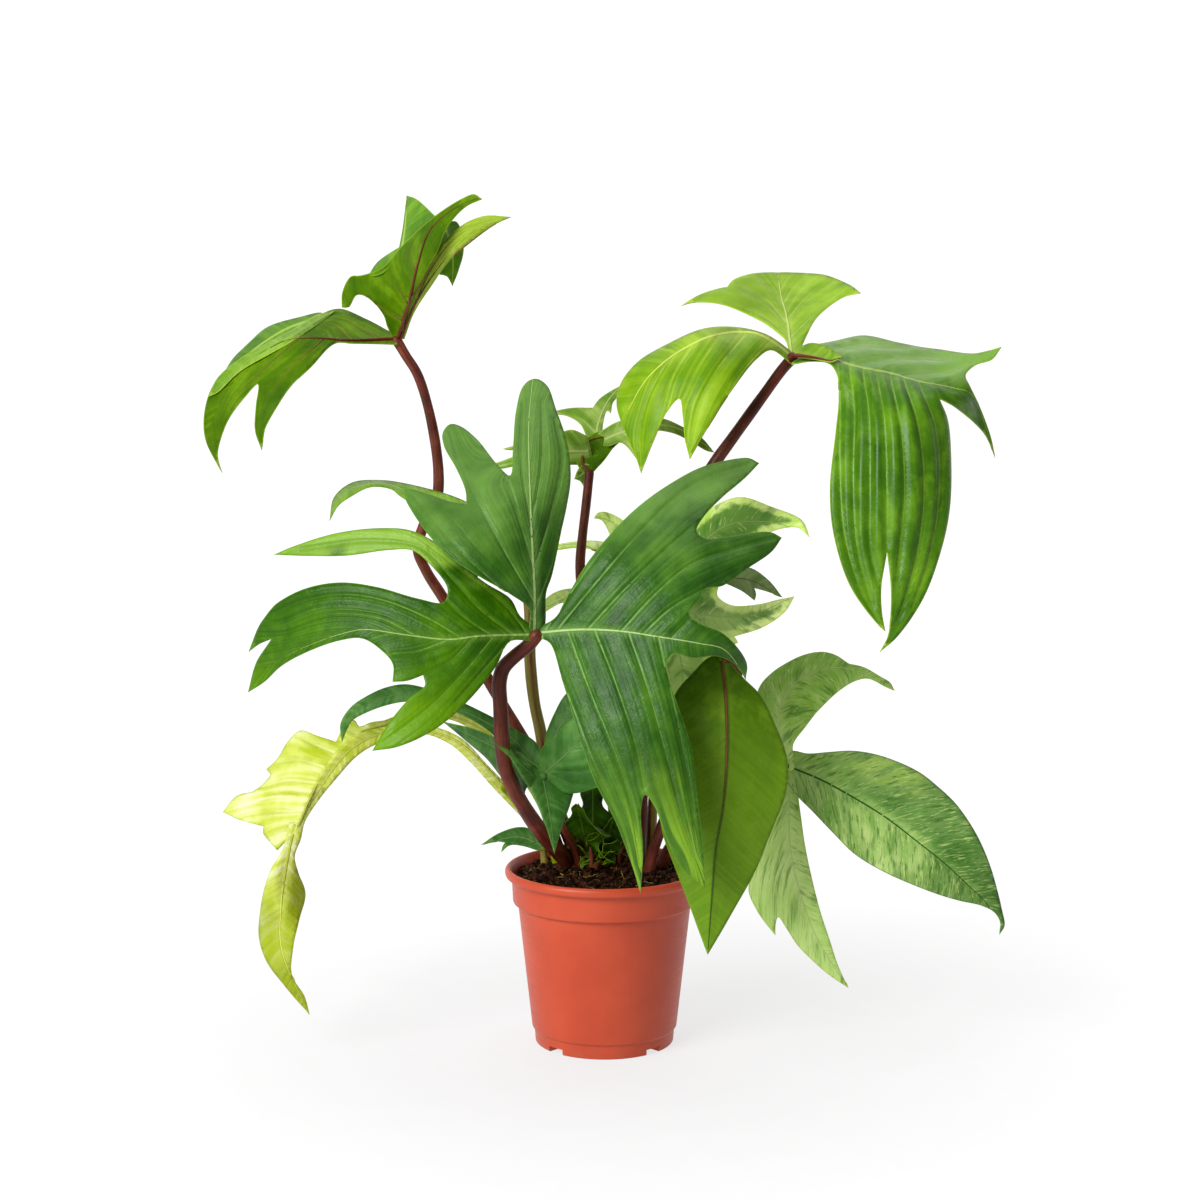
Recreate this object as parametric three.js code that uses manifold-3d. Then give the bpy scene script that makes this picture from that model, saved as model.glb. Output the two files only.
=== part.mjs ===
// A lobed, variegated philodendron in a plastic nursery pot.
// Millimetres, +Z up, the origin at the centre of the pot's base, the front towards -Y.
// Leaf outlines and stems are given as seen from the front: [x, z] on the plane through
// the pot's axis, with a depth y (negative is nearer). place() slides such a point along
// the line of sight to its true place.
import * as THREE from 'three';
import { mergeVertices } from 'three/addons/utils/BufferGeometryUtils.js';
import Module from 'manifold-3d';

const wasm = await Module();
wasm.setup();

// Where the outlines are seen from.
const EYE_X = -2.7;
const EYE_DISTANCE = 1300;
const EYE_HEIGHT = 417;

// The pot.
const RIM_RADIUS = 60;
const RIM_TOP = 107.2;
const RIM_BOTTOM = 101.6;
const BAND_TOP_RADIUS = 56;
const BAND_BOTTOM_RADIUS = 55.5;
const BAND_BOTTOM = 86;
const BODY_TOP_RADIUS = 52.3;
const BODY_BOTTOM_RADIUS = 43.9;
const FOOT_RADIUS = 42;
const FOOT_HEIGHT = 8.5;
const WALL = 1.5;
const FLOOR_THICKNESS = 5;
const NOTCH_WIDTH = 11;
const NOTCH_HEIGHT = 3.5;
const NOTCH_ANGLE = 44;
const NOTCH_INNER_RADIUS = 22;
const DRAIN_RADIUS = 4;
const DRAIN_CENTRE_RADIUS = 29;
const POT_SIDES = 36;

// The soil.
const SOIL_TOP = 101;
const MOUND = 10;
const SOIL_RINGS = [46, 36, 26, 15];
const CLEARANCE = 0.3;
const STEM_FOOT = 90;
const HOLE_MARGIN = 1.4;

// Leaves and stems.
const BLADE_THICKNESS = 0.9;
const OUTLINE_STEP = 15;
const SPACING = 19;
const BORDER_MARGIN = 0.45;
const RIB_MARGIN = 0.4;
const RIB_STEP = 14;
const RIB_HALF_WIDTH = 2.6;
const RIB_HEIGHT = 0.9;
const RIB_TAPER = 0.6;
const STEEPEST = 4;
const STEM_SIDES = 7;
const STEM_STEP = 16;
const KNOB_GAP = 0.4;

const COLOURS = {
  pot: 0xd2593c,
  soil: 0x2c1a10,
  stem: 0x6a2c22,
  deep: 0x3f7a2c,
  lime: 0x7fb52c,
  olive: 0x5b8a1e,
  pale: 0x9cc070,
  cream: 0xa9c46c,
  young: 0xcfe04c,
  dark: 0x2f6238,
};

function material(colour, roughness) {
  return new THREE.MeshStandardMaterial({ color: colour, roughness, metalness: 0 });
}

function place(x, z, y) {
  const scale = (EYE_DISTANCE + y) / EYE_DISTANCE;
  return [EYE_X + (x - EYE_X) * scale, y, EYE_HEIGHT + (z - EYE_HEIGHT) * scale];
}

// Solids

function solidOf(geometry) {
  geometry.deleteAttribute('normal');
  geometry.deleteAttribute('uv');
  const merged = mergeVertices(geometry, 1e-4);
  const at = merged.attributes.position;
  const faces = [];
  let volume = 0;
  for (let i = 0; i < merged.index.count; i += 3) {
    const [a, b, c] = [0, 1, 2].map((k) => merged.index.getX(i + k));
    if (a === b || b === c || c === a) continue;
    faces.push([a, b, c]);
    const [p, q, r] = [a, b, c].map((k) => new THREE.Vector3().fromBufferAttribute(at, k));
    volume += p.dot(q.cross(r));
  }
  if (volume < 0) faces.forEach((face) => face.reverse());
  return new wasm.Manifold(new wasm.Mesh({
    numProp: 3,
    vertProperties: Float32Array.from(at.array),
    triVerts: Uint32Array.from(faces.flat()),
  }));
}

function closedMesh(points, faces) {
  const geometry = new THREE.BufferGeometry();
  geometry.setAttribute('position', new THREE.Float32BufferAttribute(points.flat(), 3));
  geometry.setIndex(faces.flat());
  return solidOf(geometry);
}

function geometryOf(solid) {
  const mesh = solid.getMesh();
  const geometry = new THREE.BufferGeometry();
  geometry.setAttribute('position', new THREE.BufferAttribute(mesh.vertProperties, 3));
  geometry.setIndex(new THREE.BufferAttribute(mesh.triVerts, 1));
  geometry.computeVertexNormals();
  return geometry;
}

// Moves a solid that was built in the front view to its true place.
function placed(solid) {
  const geometry = geometryOf(solid);
  const at = geometry.attributes.position;
  for (let i = 0; i < at.count; i += 1) {
    at.setXYZ(i, ...place(at.getX(i), at.getZ(i), at.getY(i)));
  }
  return solidOf(geometry);
}

function join(solids) {
  return solids.reduce((sum, solid) => sum.add(solid));
}

// The smooth curve through points given as [x, y, z].
function curveThrough(points) {
  return new THREE.CatmullRomCurve3(points.map((p) => new THREE.Vector3(...p)), false, 'centripetal');
}

// A closed round tube along points, whose radius runs evenly from the first to the last.
function tube(points, firstRadius, lastRadius, sides = STEM_SIDES, step = STEM_STEP) {
  const curve = curveThrough(points);
  const steps = Math.max(2, Math.round(curve.getLength() / step));
  const { normals, binormals } = curve.computeFrenetFrames(steps, false);
  const rings = [];
  for (let i = 0; i <= steps; i += 1) {
    const centre = curve.getPointAt(i / steps);
    const radius = THREE.MathUtils.lerp(firstRadius, lastRadius, i / steps);
    for (let j = 0; j < sides; j += 1) {
      const turn = (j / sides) * 2 * Math.PI;
      const point = centre.clone()
        .addScaledVector(normals[i], radius * Math.cos(turn))
        .addScaledVector(binormals[i], radius * Math.sin(turn));
      rings.push(point.toArray());
    }
  }
  const faces = [];
  for (let i = 0; i < steps; i += 1) {
    for (let j = 0; j < sides; j += 1) {
      const a = i * sides + j;
      const b = i * sides + ((j + 1) % sides);
      faces.push([a, b, b + sides], [a, b + sides, a + sides]);
    }
  }
  const last = steps * sides;
  for (let j = 1; j < sides - 1; j += 1) {
    faces.push([0, j + 1, j], [last, last + j, last + j + 1]);
  }
  return closedMesh(rings, faces);
}

function ball({ x, y, z, radius }, margin) {
  return solidOf(new THREE.SphereGeometry(radius + margin, 8, 6).translate(x, y, z));
}

// Blades

// The smooth depth y(x, z) through hand-set [x, z, y] points, as a thin plate bends.
function plate(points) {
  const size = points.length + 3;
  const kernel = (dx, dz) => {
    const square = dx * dx + dz * dz;
    return square === 0 ? 0 : 0.5 * square * Math.log(square);
  };
  const rows = points.map(([x, z, y]) => [
    ...points.map(([px, pz]) => kernel(x - px, z - pz)), 1, x, z, y,
  ]);
  const plain = [() => 1, ([x]) => x, ([, z]) => z];
  plain.forEach((term) => rows.push([...points.map(term), 0, 0, 0, 0]));
  for (let i = 0; i < size; i += 1) {
    let pivot = i;
    for (let j = i; j < size; j += 1) {
      if (Math.abs(rows[j][i]) > Math.abs(rows[pivot][i])) pivot = j;
    }
    [rows[i], rows[pivot]] = [rows[pivot], rows[i]];
    for (let j = 0; j < size; j += 1) {
      if (j === i) continue;
      const share = rows[j][i] / rows[i][i];
      for (let k = i; k <= size; k += 1) rows[j][k] -= share * rows[i][k];
    }
  }
  const weight = rows.map((row, i) => row[size] / row[i]);
  return (x, z) => {
    let y = weight[size - 3] + weight[size - 2] * x + weight[size - 1] * z;
    points.forEach(([px, pz], i) => {
      y += weight[i] * kernel(x - px, z - pz);
    });
    return y;
  };
}

// The closed outline made of smooth strokes from corner to corner, with every given point.
function outline(strokes) {
  const points = [];
  let last = strokes.at(-1).at(-1);
  strokes.forEach((stroke) => {
    const controls = [last, ...stroke];
    const curve = curveThrough(controls.map(([x, z]) => [x, z, 0]));
    stroke.forEach(([x, z], i) => {
      const span = Math.hypot(x - controls[i][0], z - controls[i][1]);
      const steps = stroke.length === 1 ? 1 : Math.ceil(span / OUTLINE_STEP);
      for (let k = 1; k <= steps; k += 1) {
        const point = curve.getPoint((i + k / steps) / stroke.length);
        points.push(new THREE.Vector2(point.x, point.y));
      }
    });
    last = stroke.at(-1);
  });
  return points;
}

function toVector3(point) {
  return new THREE.Vector3(point.x, point.y, 0);
}

function isInside({ x, y }, border) {
  return border.reduce((odd, p, i) => {
    const q = border.at(i - 1);
    const crosses = p.y > y !== q.y > y && x < p.x + ((y - p.y) / (q.y - p.y)) * (q.x - p.x);
    return crosses ? !odd : odd;
  }, false);
}

function gapTo(border, point) {
  return Math.min(...border.map((p, i) => {
    const edge = new THREE.Line3(toVector3(p), toVector3(border.at(i - 1)));
    const nearest = edge.closestPointToPoint(toVector3(point), true, new THREE.Vector3());
    return nearest.distanceTo(toVector3(point));
  }));
}

// A raised rib: points along its crest and along a foot at either side of it, each with
// its rise out of the sheet.
function ribPoints(border, line) {
  if (!line.length) return [];
  const curve = curveThrough(line.map(([x, z]) => [x, z, 0]));
  const steps = Math.max(2, Math.round(curve.getLength() / RIB_STEP));
  const found = [];
  for (let i = 0; i <= steps; i += 1) {
    const centre = curve.getPointAt(i / steps);
    const ahead = curve.getTangentAt(i / steps);
    [-RIB_HALF_WIDTH, 0, RIB_HALF_WIDTH].forEach((aside) => {
      const point = new THREE.Vector2(centre.x - aside * ahead.y, centre.y + aside * ahead.x);
      const rise = aside === 0 ? RIB_HEIGHT * (1 - RIB_TAPER * (i / steps)) : 0;
      if (isInside(point, border) && gapTo(border, point) > RIB_HALF_WIDTH) {
        found.push(Object.assign(point, { rise }));
      }
    });
  }
  return found;
}

// Points within the outline: the rib's, and a staggered grid clear of it and the border.
function innerPoints(border, line) {
  const box = new THREE.Box2().setFromPoints(border);
  const rib = ribPoints(border, line);
  const grid = [];
  const rowStep = SPACING * Math.sin(Math.PI / 3);
  for (let row = 0; box.min.y + row * rowStep < box.max.y; row += 1) {
    const start = box.min.x + (row % 2) * 0.5 * SPACING;
    for (let x = start; x < box.max.x; x += SPACING) {
      const point = new THREE.Vector2(x, box.min.y + row * rowStep);
      const clear = isInside(point, border) && gapTo(border, point) > BORDER_MARGIN * SPACING
        && rib.every((other) => other.distanceTo(point) > RIB_MARGIN * SPACING);
      if (clear) grid.push(Object.assign(point, { rise: 0 }));
    }
  }
  return [...rib, ...grid];
}

function turn(a, b, c) {
  return (b.x - a.x) * (c.y - a.y) - (b.y - a.y) * (c.x - a.x);
}

function inCircle(a, b, c, d) {
  const [p, q, r] = [a, b, c].map((point) => point.clone().sub(d));
  return p.lengthSq() * q.cross(r) + q.lengthSq() * r.cross(p) + r.lengthSq() * p.cross(q) > 1e-6;
}

// Triangles of the outline with the inner points: edges are turned until no triangle's
// circle holds a neighbour's corner.
function triangulate(border, inner) {
  const points = [...border, ...inner];
  const faces = THREE.ShapeUtils.triangulateShape([...border], []);
  inner.forEach((point, i) => {
    const at = border.length + i;
    const inset = (face) => Math.min(...face.map((corner, k) => (
      turn(points[corner], points[face[(k + 1) % 3]], point)
    )));
    const home = faces.reduce((best, face, k) => (inset(face) > inset(faces[best]) ? k : best), 0);
    const [a, b, c] = faces[home];
    faces.splice(home, 1, [a, b, at], [b, c, at], [c, a, at]);
  });
  const turnOneEdge = () => {
    const owners = new Map();
    faces.forEach((face, i) => face.forEach((a, k) => {
      owners.set(`${a} ${face[(k + 1) % 3]}`, [i, face[(k + 2) % 3]]);
    }));
    for (const [edge, [i, c]] of owners) {
      const [a, b] = edge.split(' ').map(Number);
      const [j, d] = owners.get(`${b} ${a}`) ?? [];
      if (d !== undefined && inCircle(points[a], points[b], points[c], points[d])) {
        faces[i] = [c, a, d];
        faces[j] = [d, b, c];
        return true;
      }
    }
    return false;
  };
  while (turnOneEdge());
  return faces;
}

// A lobe: a sheet that follows the depth and is thicker along its rib, its two faces
// split into the same triangles.
function lobe({ edge, lie, rib = [] }) {
  const depth = plate(lie);
  const border = outline(edge);
  if (THREE.ShapeUtils.isClockWise(border)) border.reverse();
  const inner = innerPoints(border, rib);
  const points = [...border, ...inner].flatMap(({ x, y: z, rise = 0 }) => {
    const y = depth(x, z);
    const slope = Math.hypot(depth(x + 1, z) - y, depth(x, z + 1) - y);
    const half = (0.5 * BLADE_THICKNESS + rise) * Math.hypot(1, Math.min(slope, STEEPEST));
    return [[x, y - half, z], [x, y + half, z]];
  });
  const faces = triangulate(border, inner).flatMap((face) => {
    const [a, b, c] = face.map((corner) => 2 * corner);
    return [[a, b, c], [c + 1, b + 1, a + 1]];
  });
  border.forEach((_, i) => {
    const a = 2 * i;
    const b = 2 * ((i + 1) % border.length);
    faces.push([a, a + 1, b + 1], [a, b + 1, b]);
  });
  return closedMesh(points, faces);
}

// The body itself, without the crumbs that a cut can leave.
function largest(solid) {
  return solid.decompose().reduce((best, body) => (body.volume() > best.volume() ? body : best));
}

// A whole leaf: its lobes, cleared of its petiole, and the knob that joins them.
function leaf({ lobes, knob, stem }) {
  const blade = join(lobes.map(lobe)).subtract(wideStem(stem, KNOB_GAP));
  return placed(largest(blade.add(ball(knob, 0))));
}

function petiole({ stem, knob }) {
  return placed(wideStem(stem, 0).subtract(ball(knob, KNOB_GAP)));
}

// A petiole of [x, y, z] points, from its foot in the soil up to its leaf.
function wideStem({ path, radii }, margin) {
  return tube(path, radii[0] + margin, radii[1] + margin);
}

function stemHole({ path: [[x, y, z], ...rest], radii }) {
  return placed(wideStem({ path: [[x, y, z - 2 * CLEARANCE], ...rest], radii }, HOLE_MARGIN));
}

// The pot and its soil

function turned(profile) {
  const points = profile.map(([r, z]) => new THREE.Vector2(r, z));
  return solidOf(new THREE.LatheGeometry(points, POT_SIDES).rotateX(Math.PI / 2));
}

function innerWall(gap) {
  return [
    [FOOT_RADIUS - WALL - gap, FLOOR_THICKNESS + gap],
    [FOOT_RADIUS - WALL - gap, FOOT_HEIGHT + 1 + gap],
    [BODY_BOTTOM_RADIUS - WALL - gap, FOOT_HEIGHT + 3 + gap],
    [BODY_TOP_RADIUS - WALL - gap, BAND_BOTTOM + gap],
    [BAND_BOTTOM_RADIUS - WALL - gap, BAND_BOTTOM + 1 + gap],
  ];
}

function buildPot() {
  const body = turned([
    [0, 0],
    [FOOT_RADIUS, 0],
    [FOOT_RADIUS + 0.5, FOOT_HEIGHT],
    [BODY_BOTTOM_RADIUS, FOOT_HEIGHT + 1],
    [BODY_TOP_RADIUS, BAND_BOTTOM - 1],
    [BAND_BOTTOM_RADIUS, BAND_BOTTOM],
    [BAND_TOP_RADIUS, RIM_BOTTOM],
    [RIM_RADIUS - 0.8, RIM_BOTTOM],
    [RIM_RADIUS, RIM_BOTTOM + 1],
    [RIM_RADIUS, RIM_TOP - 1.4],
    [RIM_RADIUS - 1.2, RIM_TOP],
    [RIM_RADIUS - 2.6, RIM_TOP],
    [RIM_RADIUS - 3.6, RIM_TOP - 1.4],
    [BAND_TOP_RADIUS - WALL, RIM_BOTTOM],
    ...innerWall(0).reverse(),
    [0, FLOOR_THICKNESS],
  ]);
  const cuts = [];
  for (const quarter of [0, 1, 2, 3]) {
    const side = quarter % 2 === 0 ? 1 : -1;
    const facing = quarter < 2 ? -90 : 90;
    const turn = THREE.MathUtils.degToRad(facing + side * NOTCH_ANGLE);
    const length = FOOT_RADIUS + 2 - NOTCH_INNER_RADIUS;
    const notch = new THREE.BoxGeometry(length, NOTCH_WIDTH, 2 * NOTCH_HEIGHT);
    cuts.push(solidOf(notch.translate(NOTCH_INNER_RADIUS + length / 2, 0, 0).rotateZ(turn)));
    const drain = new THREE.CylinderGeometry(DRAIN_RADIUS, DRAIN_RADIUS, 3 * FLOOR_THICKNESS, 12);
    cuts.push(solidOf(drain.rotateX(Math.PI / 2).translate(DRAIN_CENTRE_RADIUS, 0, 0).rotateZ(turn)));
  }
  return body.subtract(join(cuts));
}

function soilHeight(x, y) {
  const mound = MOUND * Math.max(0, 1 - Math.hypot(x, y) / BODY_TOP_RADIUS);
  return SOIL_TOP + mound + 0.9 * Math.sin(0.29 * x + 1.3) * Math.cos(0.23 * y);
}

function buildSoil(stems) {
  const edge = BAND_TOP_RADIUS - WALL - 2 * CLEARANCE;
  const geometry = new THREE.LatheGeometry([
    [0, FLOOR_THICKNESS + CLEARANCE],
    ...innerWall(CLEARANCE),
    [edge, SOIL_TOP - 2],
    ...SOIL_RINGS.map((radius) => [radius, SOIL_TOP]),
    [0, SOIL_TOP],
  ].map(([r, z]) => new THREE.Vector2(r, z)), POT_SIDES).rotateX(Math.PI / 2);
  const at = geometry.attributes.position;
  for (let i = 0; i < at.count; i += 1) {
    if (at.getZ(i) === SOIL_TOP) at.setZ(i, soilHeight(at.getX(i), at.getY(i)));
  }
  return solidOf(geometry).subtract(join(stems.map(stemHole)));
}

// Front leaf: large and deep green, facing the viewer

const front = {
  knob: { x: -41, y: -79, z: 248, radius: 5 },
  lobes: [
    { // left
      edge: [
        [[-50.5, 259], [-56, 269], [-71, 279], [-86, 291], [-99, 302], [-116, 310.4], [-135, 311.7],
          [-160, 308.5], [-184, 300.8], [-196.5, 295.6]],
        [[-175.5, 294.9], [-153.5, 295.3], [-129, 298.6], [-114.4, 298.2], [-103.5, 289.5],
          [-93.5, 275.5], [-96, 267.3], [-111, 269.4], [-135.4, 276.5], [-157.4, 279.2],
          [-178.2, 275.3], [-195.4, 266.6], [-200.5, 261.5]],
        [[-206.5, 253], [-212.6, 237.4]],
        [[-206.5, 242], [-199.3, 245.1]],
        [[-208.2, 231], [-213.4, 213]],
        [[-203.5, 219.3], [-193.7, 228.6], [-179, 236.8], [-158, 244.3], [-144.6, 245.5],
          [-133.5, 238.6], [-126.5, 230], [-126.7, 219.3]],
        [[-118, 219.8], [-108.5, 223.3]],
        [[-107.5, 217], [-117, 209], [-129, 194.5], [-139.5, 177.5]],
        [[-123.6, 180], [-101, 191], [-80.5, 209], [-65, 228.5], [-57, 243.5], [-42, 244]],
        [[-41, 252]],
      ],
      lie: [[-42, 248, -79], [-75, 247, -95], [-110, 243, -99], [-155, 249, -86], [-105, 290, -83],
        [-60, 272, -78], [-196, 296, -49], [-150, 303, -68], [-213, 237, -47], [-213, 213, -52],
        [-180, 258, -70], [-127, 219, -109], [-105, 205, -114], [-139, 178, -120], [-70, 232, -96]],
      rib: [[-42, 248], [-75, 247], [-93, 245], [-120, 248], [-143, 251], [-155, 249],
        [-180, 240], [-205, 227]],
    },
    { // upper
      edge: [
        [[-36, 252], [-34.5, 273], [-31.4, 282.5], [-26.8, 305.9], [-22.2, 324.5], [-20, 341],
          [-22.8, 364], [-28.6, 382.4], [-34, 396], [-41.5, 400], [-48, 395.5], [-52.3, 381],
          [-54.2, 358], [-56, 342.8], [-63.7, 349.4], [-74.7, 363.4], [-84.5, 371.6], [-91, 373.2],
          [-95.5, 368], [-94.8, 360], [-87.5, 346.4], [-82.5, 334], [-82, 326.3]],
        [[-90.6, 327.4], [-105, 332.3], [-120.8, 336.5]],
        [[-117.3, 327], [-104.2, 307], [-90.8, 293.3], [-73.8, 282.2], [-55.6, 271.7], [-45, 263],
          [-45, 252]],
        [[-41, 246]],
      ],
      lie: [[-41, 248, -79], [-41, 275, -90], [-43, 320, -78], [-44, 360, -55], [-41.5, 400, -16],
        [-70, 340, -70], [-92, 372, -34], [-85, 315, -86], [-120, 336, -57], [-56, 272, -96],
        [-90, 294, -99], [-31, 290, -78], [-21, 345, -52]],
      rib: [[-41.7, 248], [-41.3, 271], [-43.5, 320], [-44.6, 375], [-42.3, 399]],
    },
    { // terminal
      edge: [
        [[-29.2, 258.5], [-22.2, 270.7], [-11.7, 288.3], [2.3, 306.4], [18.6, 323.3],
          [37.2, 337.2], [55.8, 347], [73.3, 351.7], [85, 353.2], [91.5, 350.2]],
        [[83.7, 341.9], [69.8, 329.7], [58.8, 318], [54.5, 309.5], [59.4, 305.2], [71, 306],
          [87.5, 309], [99, 309.3], [105.4, 306]],
        [[99.4, 297.6], [84.3, 287], [70.4, 277.2], [59.5, 274.8], [56.4, 268.8], [50.2, 260.5],
          [56.4, 254.8], [69.3, 249.5], [78.7, 241.2], [85.1, 230.5], [84.7, 220.6]],
        [[78.9, 229.2], [67.3, 234.7], [52, 233.8], [41, 236.3], [37, 231], [38.8, 219.8],
          [45.3, 201], [51.9, 180], [56.3, 145.6], [59.5, 118], [60.8, 94]],
        [[52, 100.4], [43.4, 110.4], [35.5, 129], [30.6, 142.6], [24.5, 150.6], [22, 140.8],
          [23.4, 117], [21.8, 90.3]],
        [[16.6, 107.5], [7.2, 132.5], [-5.6, 158.6], [-16, 189.4], [-25.5, 221], [-33, 243],
          [-40, 246]],
        [[-40, 252]],
      ],
      lie: [[-41, 249, -79], [-10, 251, -92], [23, 248.5, -104], [52, 243, -109], [75, 237, -104],
        [84.7, 221, -91], [5, 290, -86], [40, 325, -60], [91, 350, -26], [55, 290, -88],
        [105, 306, -60], [54, 309, -75], [52, 260, -104], [-15, 200, -109], [10, 140, -125],
        [22, 91, -127], [40, 195, -120], [46, 140, -131], [60.8, 94, -135]],
      rib: [[-41.5, 249], [-14, 251], [9.4, 250], [33, 246.5], [56.4, 242.6], [71.6, 238.8],
        [84.2, 223]],
    },
  ],
  stem: {
    path: [[-22.3, 4.5, STEM_FOOT], [-22.3, 3.5, 104], [-23, -4, 110], [-29.5, -17, 118],
      [-37.9, -30, 127.5], [-47.7, -42, 142], [-55, -52, 155.5], [-60.4, -60, 170.5],
      [-61.5, -64, 184], [-62.3, -66, 205], [-62.9, -69, 219], [-60.5, -70, 227.6],
      [-53.4, -73, 235], [-46, -75, 241], [-41, -79, 247]],
    radii: [5, 4],
  },
};

// Upper left leaf: its underside faces the viewer

const upperLeft = {
  knob: { x: -122, y: 9, z: 423, radius: 3.8 },
  lobes: [
    { // left, from its upper edge down to two hanging fingers
      edge: [
        [[-127.5, 428], [-140.5, 434.5], [-156, 441], [-168.5, 437], [-183, 428.5], [-198, 420.5],
          [-213, 412], [-228, 400], [-235, 384], [-235.8, 364], [-226, 344]],
        [[-228.3, 356], [-224, 371], [-213, 388], [-204.5, 396.8], [-205.8, 384], [-206, 368],
          [-203, 357.5]],
        [[-199.5, 372], [-188.5, 390.5], [-173, 406.5], [-159, 420], [-148, 420], [-122, 419.5]],
        [[-119.5, 425]],
      ],
      lie: [[-122, 422, 9], [-150, 421.5, -8], [-184, 423.5, -18], [-156, 441, 31], [-138, 433, 25],
        [-168.5, 437, 18], [-198, 420.5, -5], [-213, 412, -10], [-228, 400, -13], [-225, 382, -31],
        [-226, 344, -26], [-190, 398, -42], [-203, 357.5, -47], [-160, 420, -18]],
      rib: [[-122, 422.4], [-150, 421.6], [-175, 423], [-190, 420.5], [-212, 404], [-228, 382],
        [-230, 362], [-226.5, 347]],
    },
    { // the far fingers behind the left lobe's crest
      edge: [
        [[-166, 438.5], [-179, 436], [-198, 429.7], [-210, 420]],
        [[-219, 411.5], [-228, 397]],
        [[-213, 408.5], [-198, 417], [-183, 425.5], [-168, 434.5]],
        [[-163, 436]],
      ],
      lie: [[-166, 436, 21], [-183, 427, 5], [-198, 419, -4], [-213, 410, -9], [-228, 398, -12],
        [-185, 435, 42], [-207, 422, 26]],
      rib: [[-165, 436], [-185, 430], [-205, 418], [-226, 400]],
    },
    { // right, rising, seen from below
      edge: [
        [[-127.5, 430], [-129.5, 437], [-138, 447], [-145, 448.5], [-150, 441.5], [-154, 441.5]],
        [[-153.5, 450], [-148.5, 459.5], [-143, 460], [-130.8, 464.5], [-118, 478], [-101.5, 492.5],
          [-84, 504], [-76, 507], [-71.3, 504]],
        [[-81, 499.5], [-90.5, 489.5], [-99, 471.5], [-109.5, 452.5], [-117, 437], [-118.5, 424]],
        [[-122, 420]],
      ],
      lie: [[-121, 423, 9], [-114.5, 443.5, -16], [-108, 469, -42], [-101, 487, -60], [-71, 504, -81],
        [-128, 450, -8], [-154, 442, 16], [-143, 460, 8], [-120, 476, -23]],
      rib: [[-121, 424], [-114.5, 443.5], [-108, 469], [-101, 487], [-85, 500], [-74, 504.5]],
    },
    { // the long light finger at the right
      edge: [
        [[-112, 441], [-104, 462], [-97.5, 474], [-83.5, 489], [-70.5, 494.3], [-54, 494]],
        [[-63, 490], [-75.5, 481.5], [-90, 469.3], [-101.5, 453.8], [-111.5, 438.5], [-117.5, 423]],
        [[-121, 424]],
      ],
      lie: [[-119, 424, 8], [-112, 440, -9], [-105, 455, -26], [-90, 475, -55], [-97, 474, -47],
        [-54, 494, -86]],
      rib: [[-119, 424], [-112.5, 440], [-104.5, 454], [-90, 473], [-74, 487], [-55, 493.7]],
    },
    { // far finger, upright
      edge: [
        [[-133, 468], [-120.5, 476.5]],
        [[-118.5, 486.5], [-115.8, 506.3]],
        [[-109.5, 504], [-98, 493.5]],
        [[-101, 489], [-118, 474.5], [-131, 461], [-139, 459.5]],
      ],
      lie: [[-139, 460, 5], [-131, 462.5, -5], [-118, 476, -22], [-101, 490, -57], [-116, 506, 16],
        [-109, 497, -18], [-133, 468, 10]],
      rib: [[-120, 470], [-117, 488], [-115.8, 505]],
    },
    { // far finger, hanging
      edge: [
        [[-86.5, 491], [-82.5, 476], [-85.5, 463], [-89, 453.5]],
        [[-92.5, 459.5], [-98, 461.5], [-99, 472], [-97, 482], [-95, 489]],
      ],
      lie: [[-94, 488, -65], [-88, 489, -57], [-84, 476, -31], [-97, 475, -35], [-89, 453.5, -10]],
      rib: [[-93, 488], [-89, 472], [-89, 455]],
    },
  ],
  stem: {
    path: [[-14.5, 13.5, STEM_FOOT], [-15.5, 13.5, 106], [-24, 16, 131], [-38, 18, 166], [-51.8, 20, 190],
      [-68.5, 21, 218.7], [-95, 22, 268], [-106, 22, 286], [-111, 22, 299], [-107, 21, 314],
      [-99.5, 20, 329], [-98.3, 18, 345], [-102.5, 16, 376], [-110, 13, 402], [-117, 10, 413.5],
      [-122, 9, 422]],
    radii: [4, 2.9],
  },
};

// Upper right leaf: lime above and left, a pleated hanging panel at the right

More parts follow.
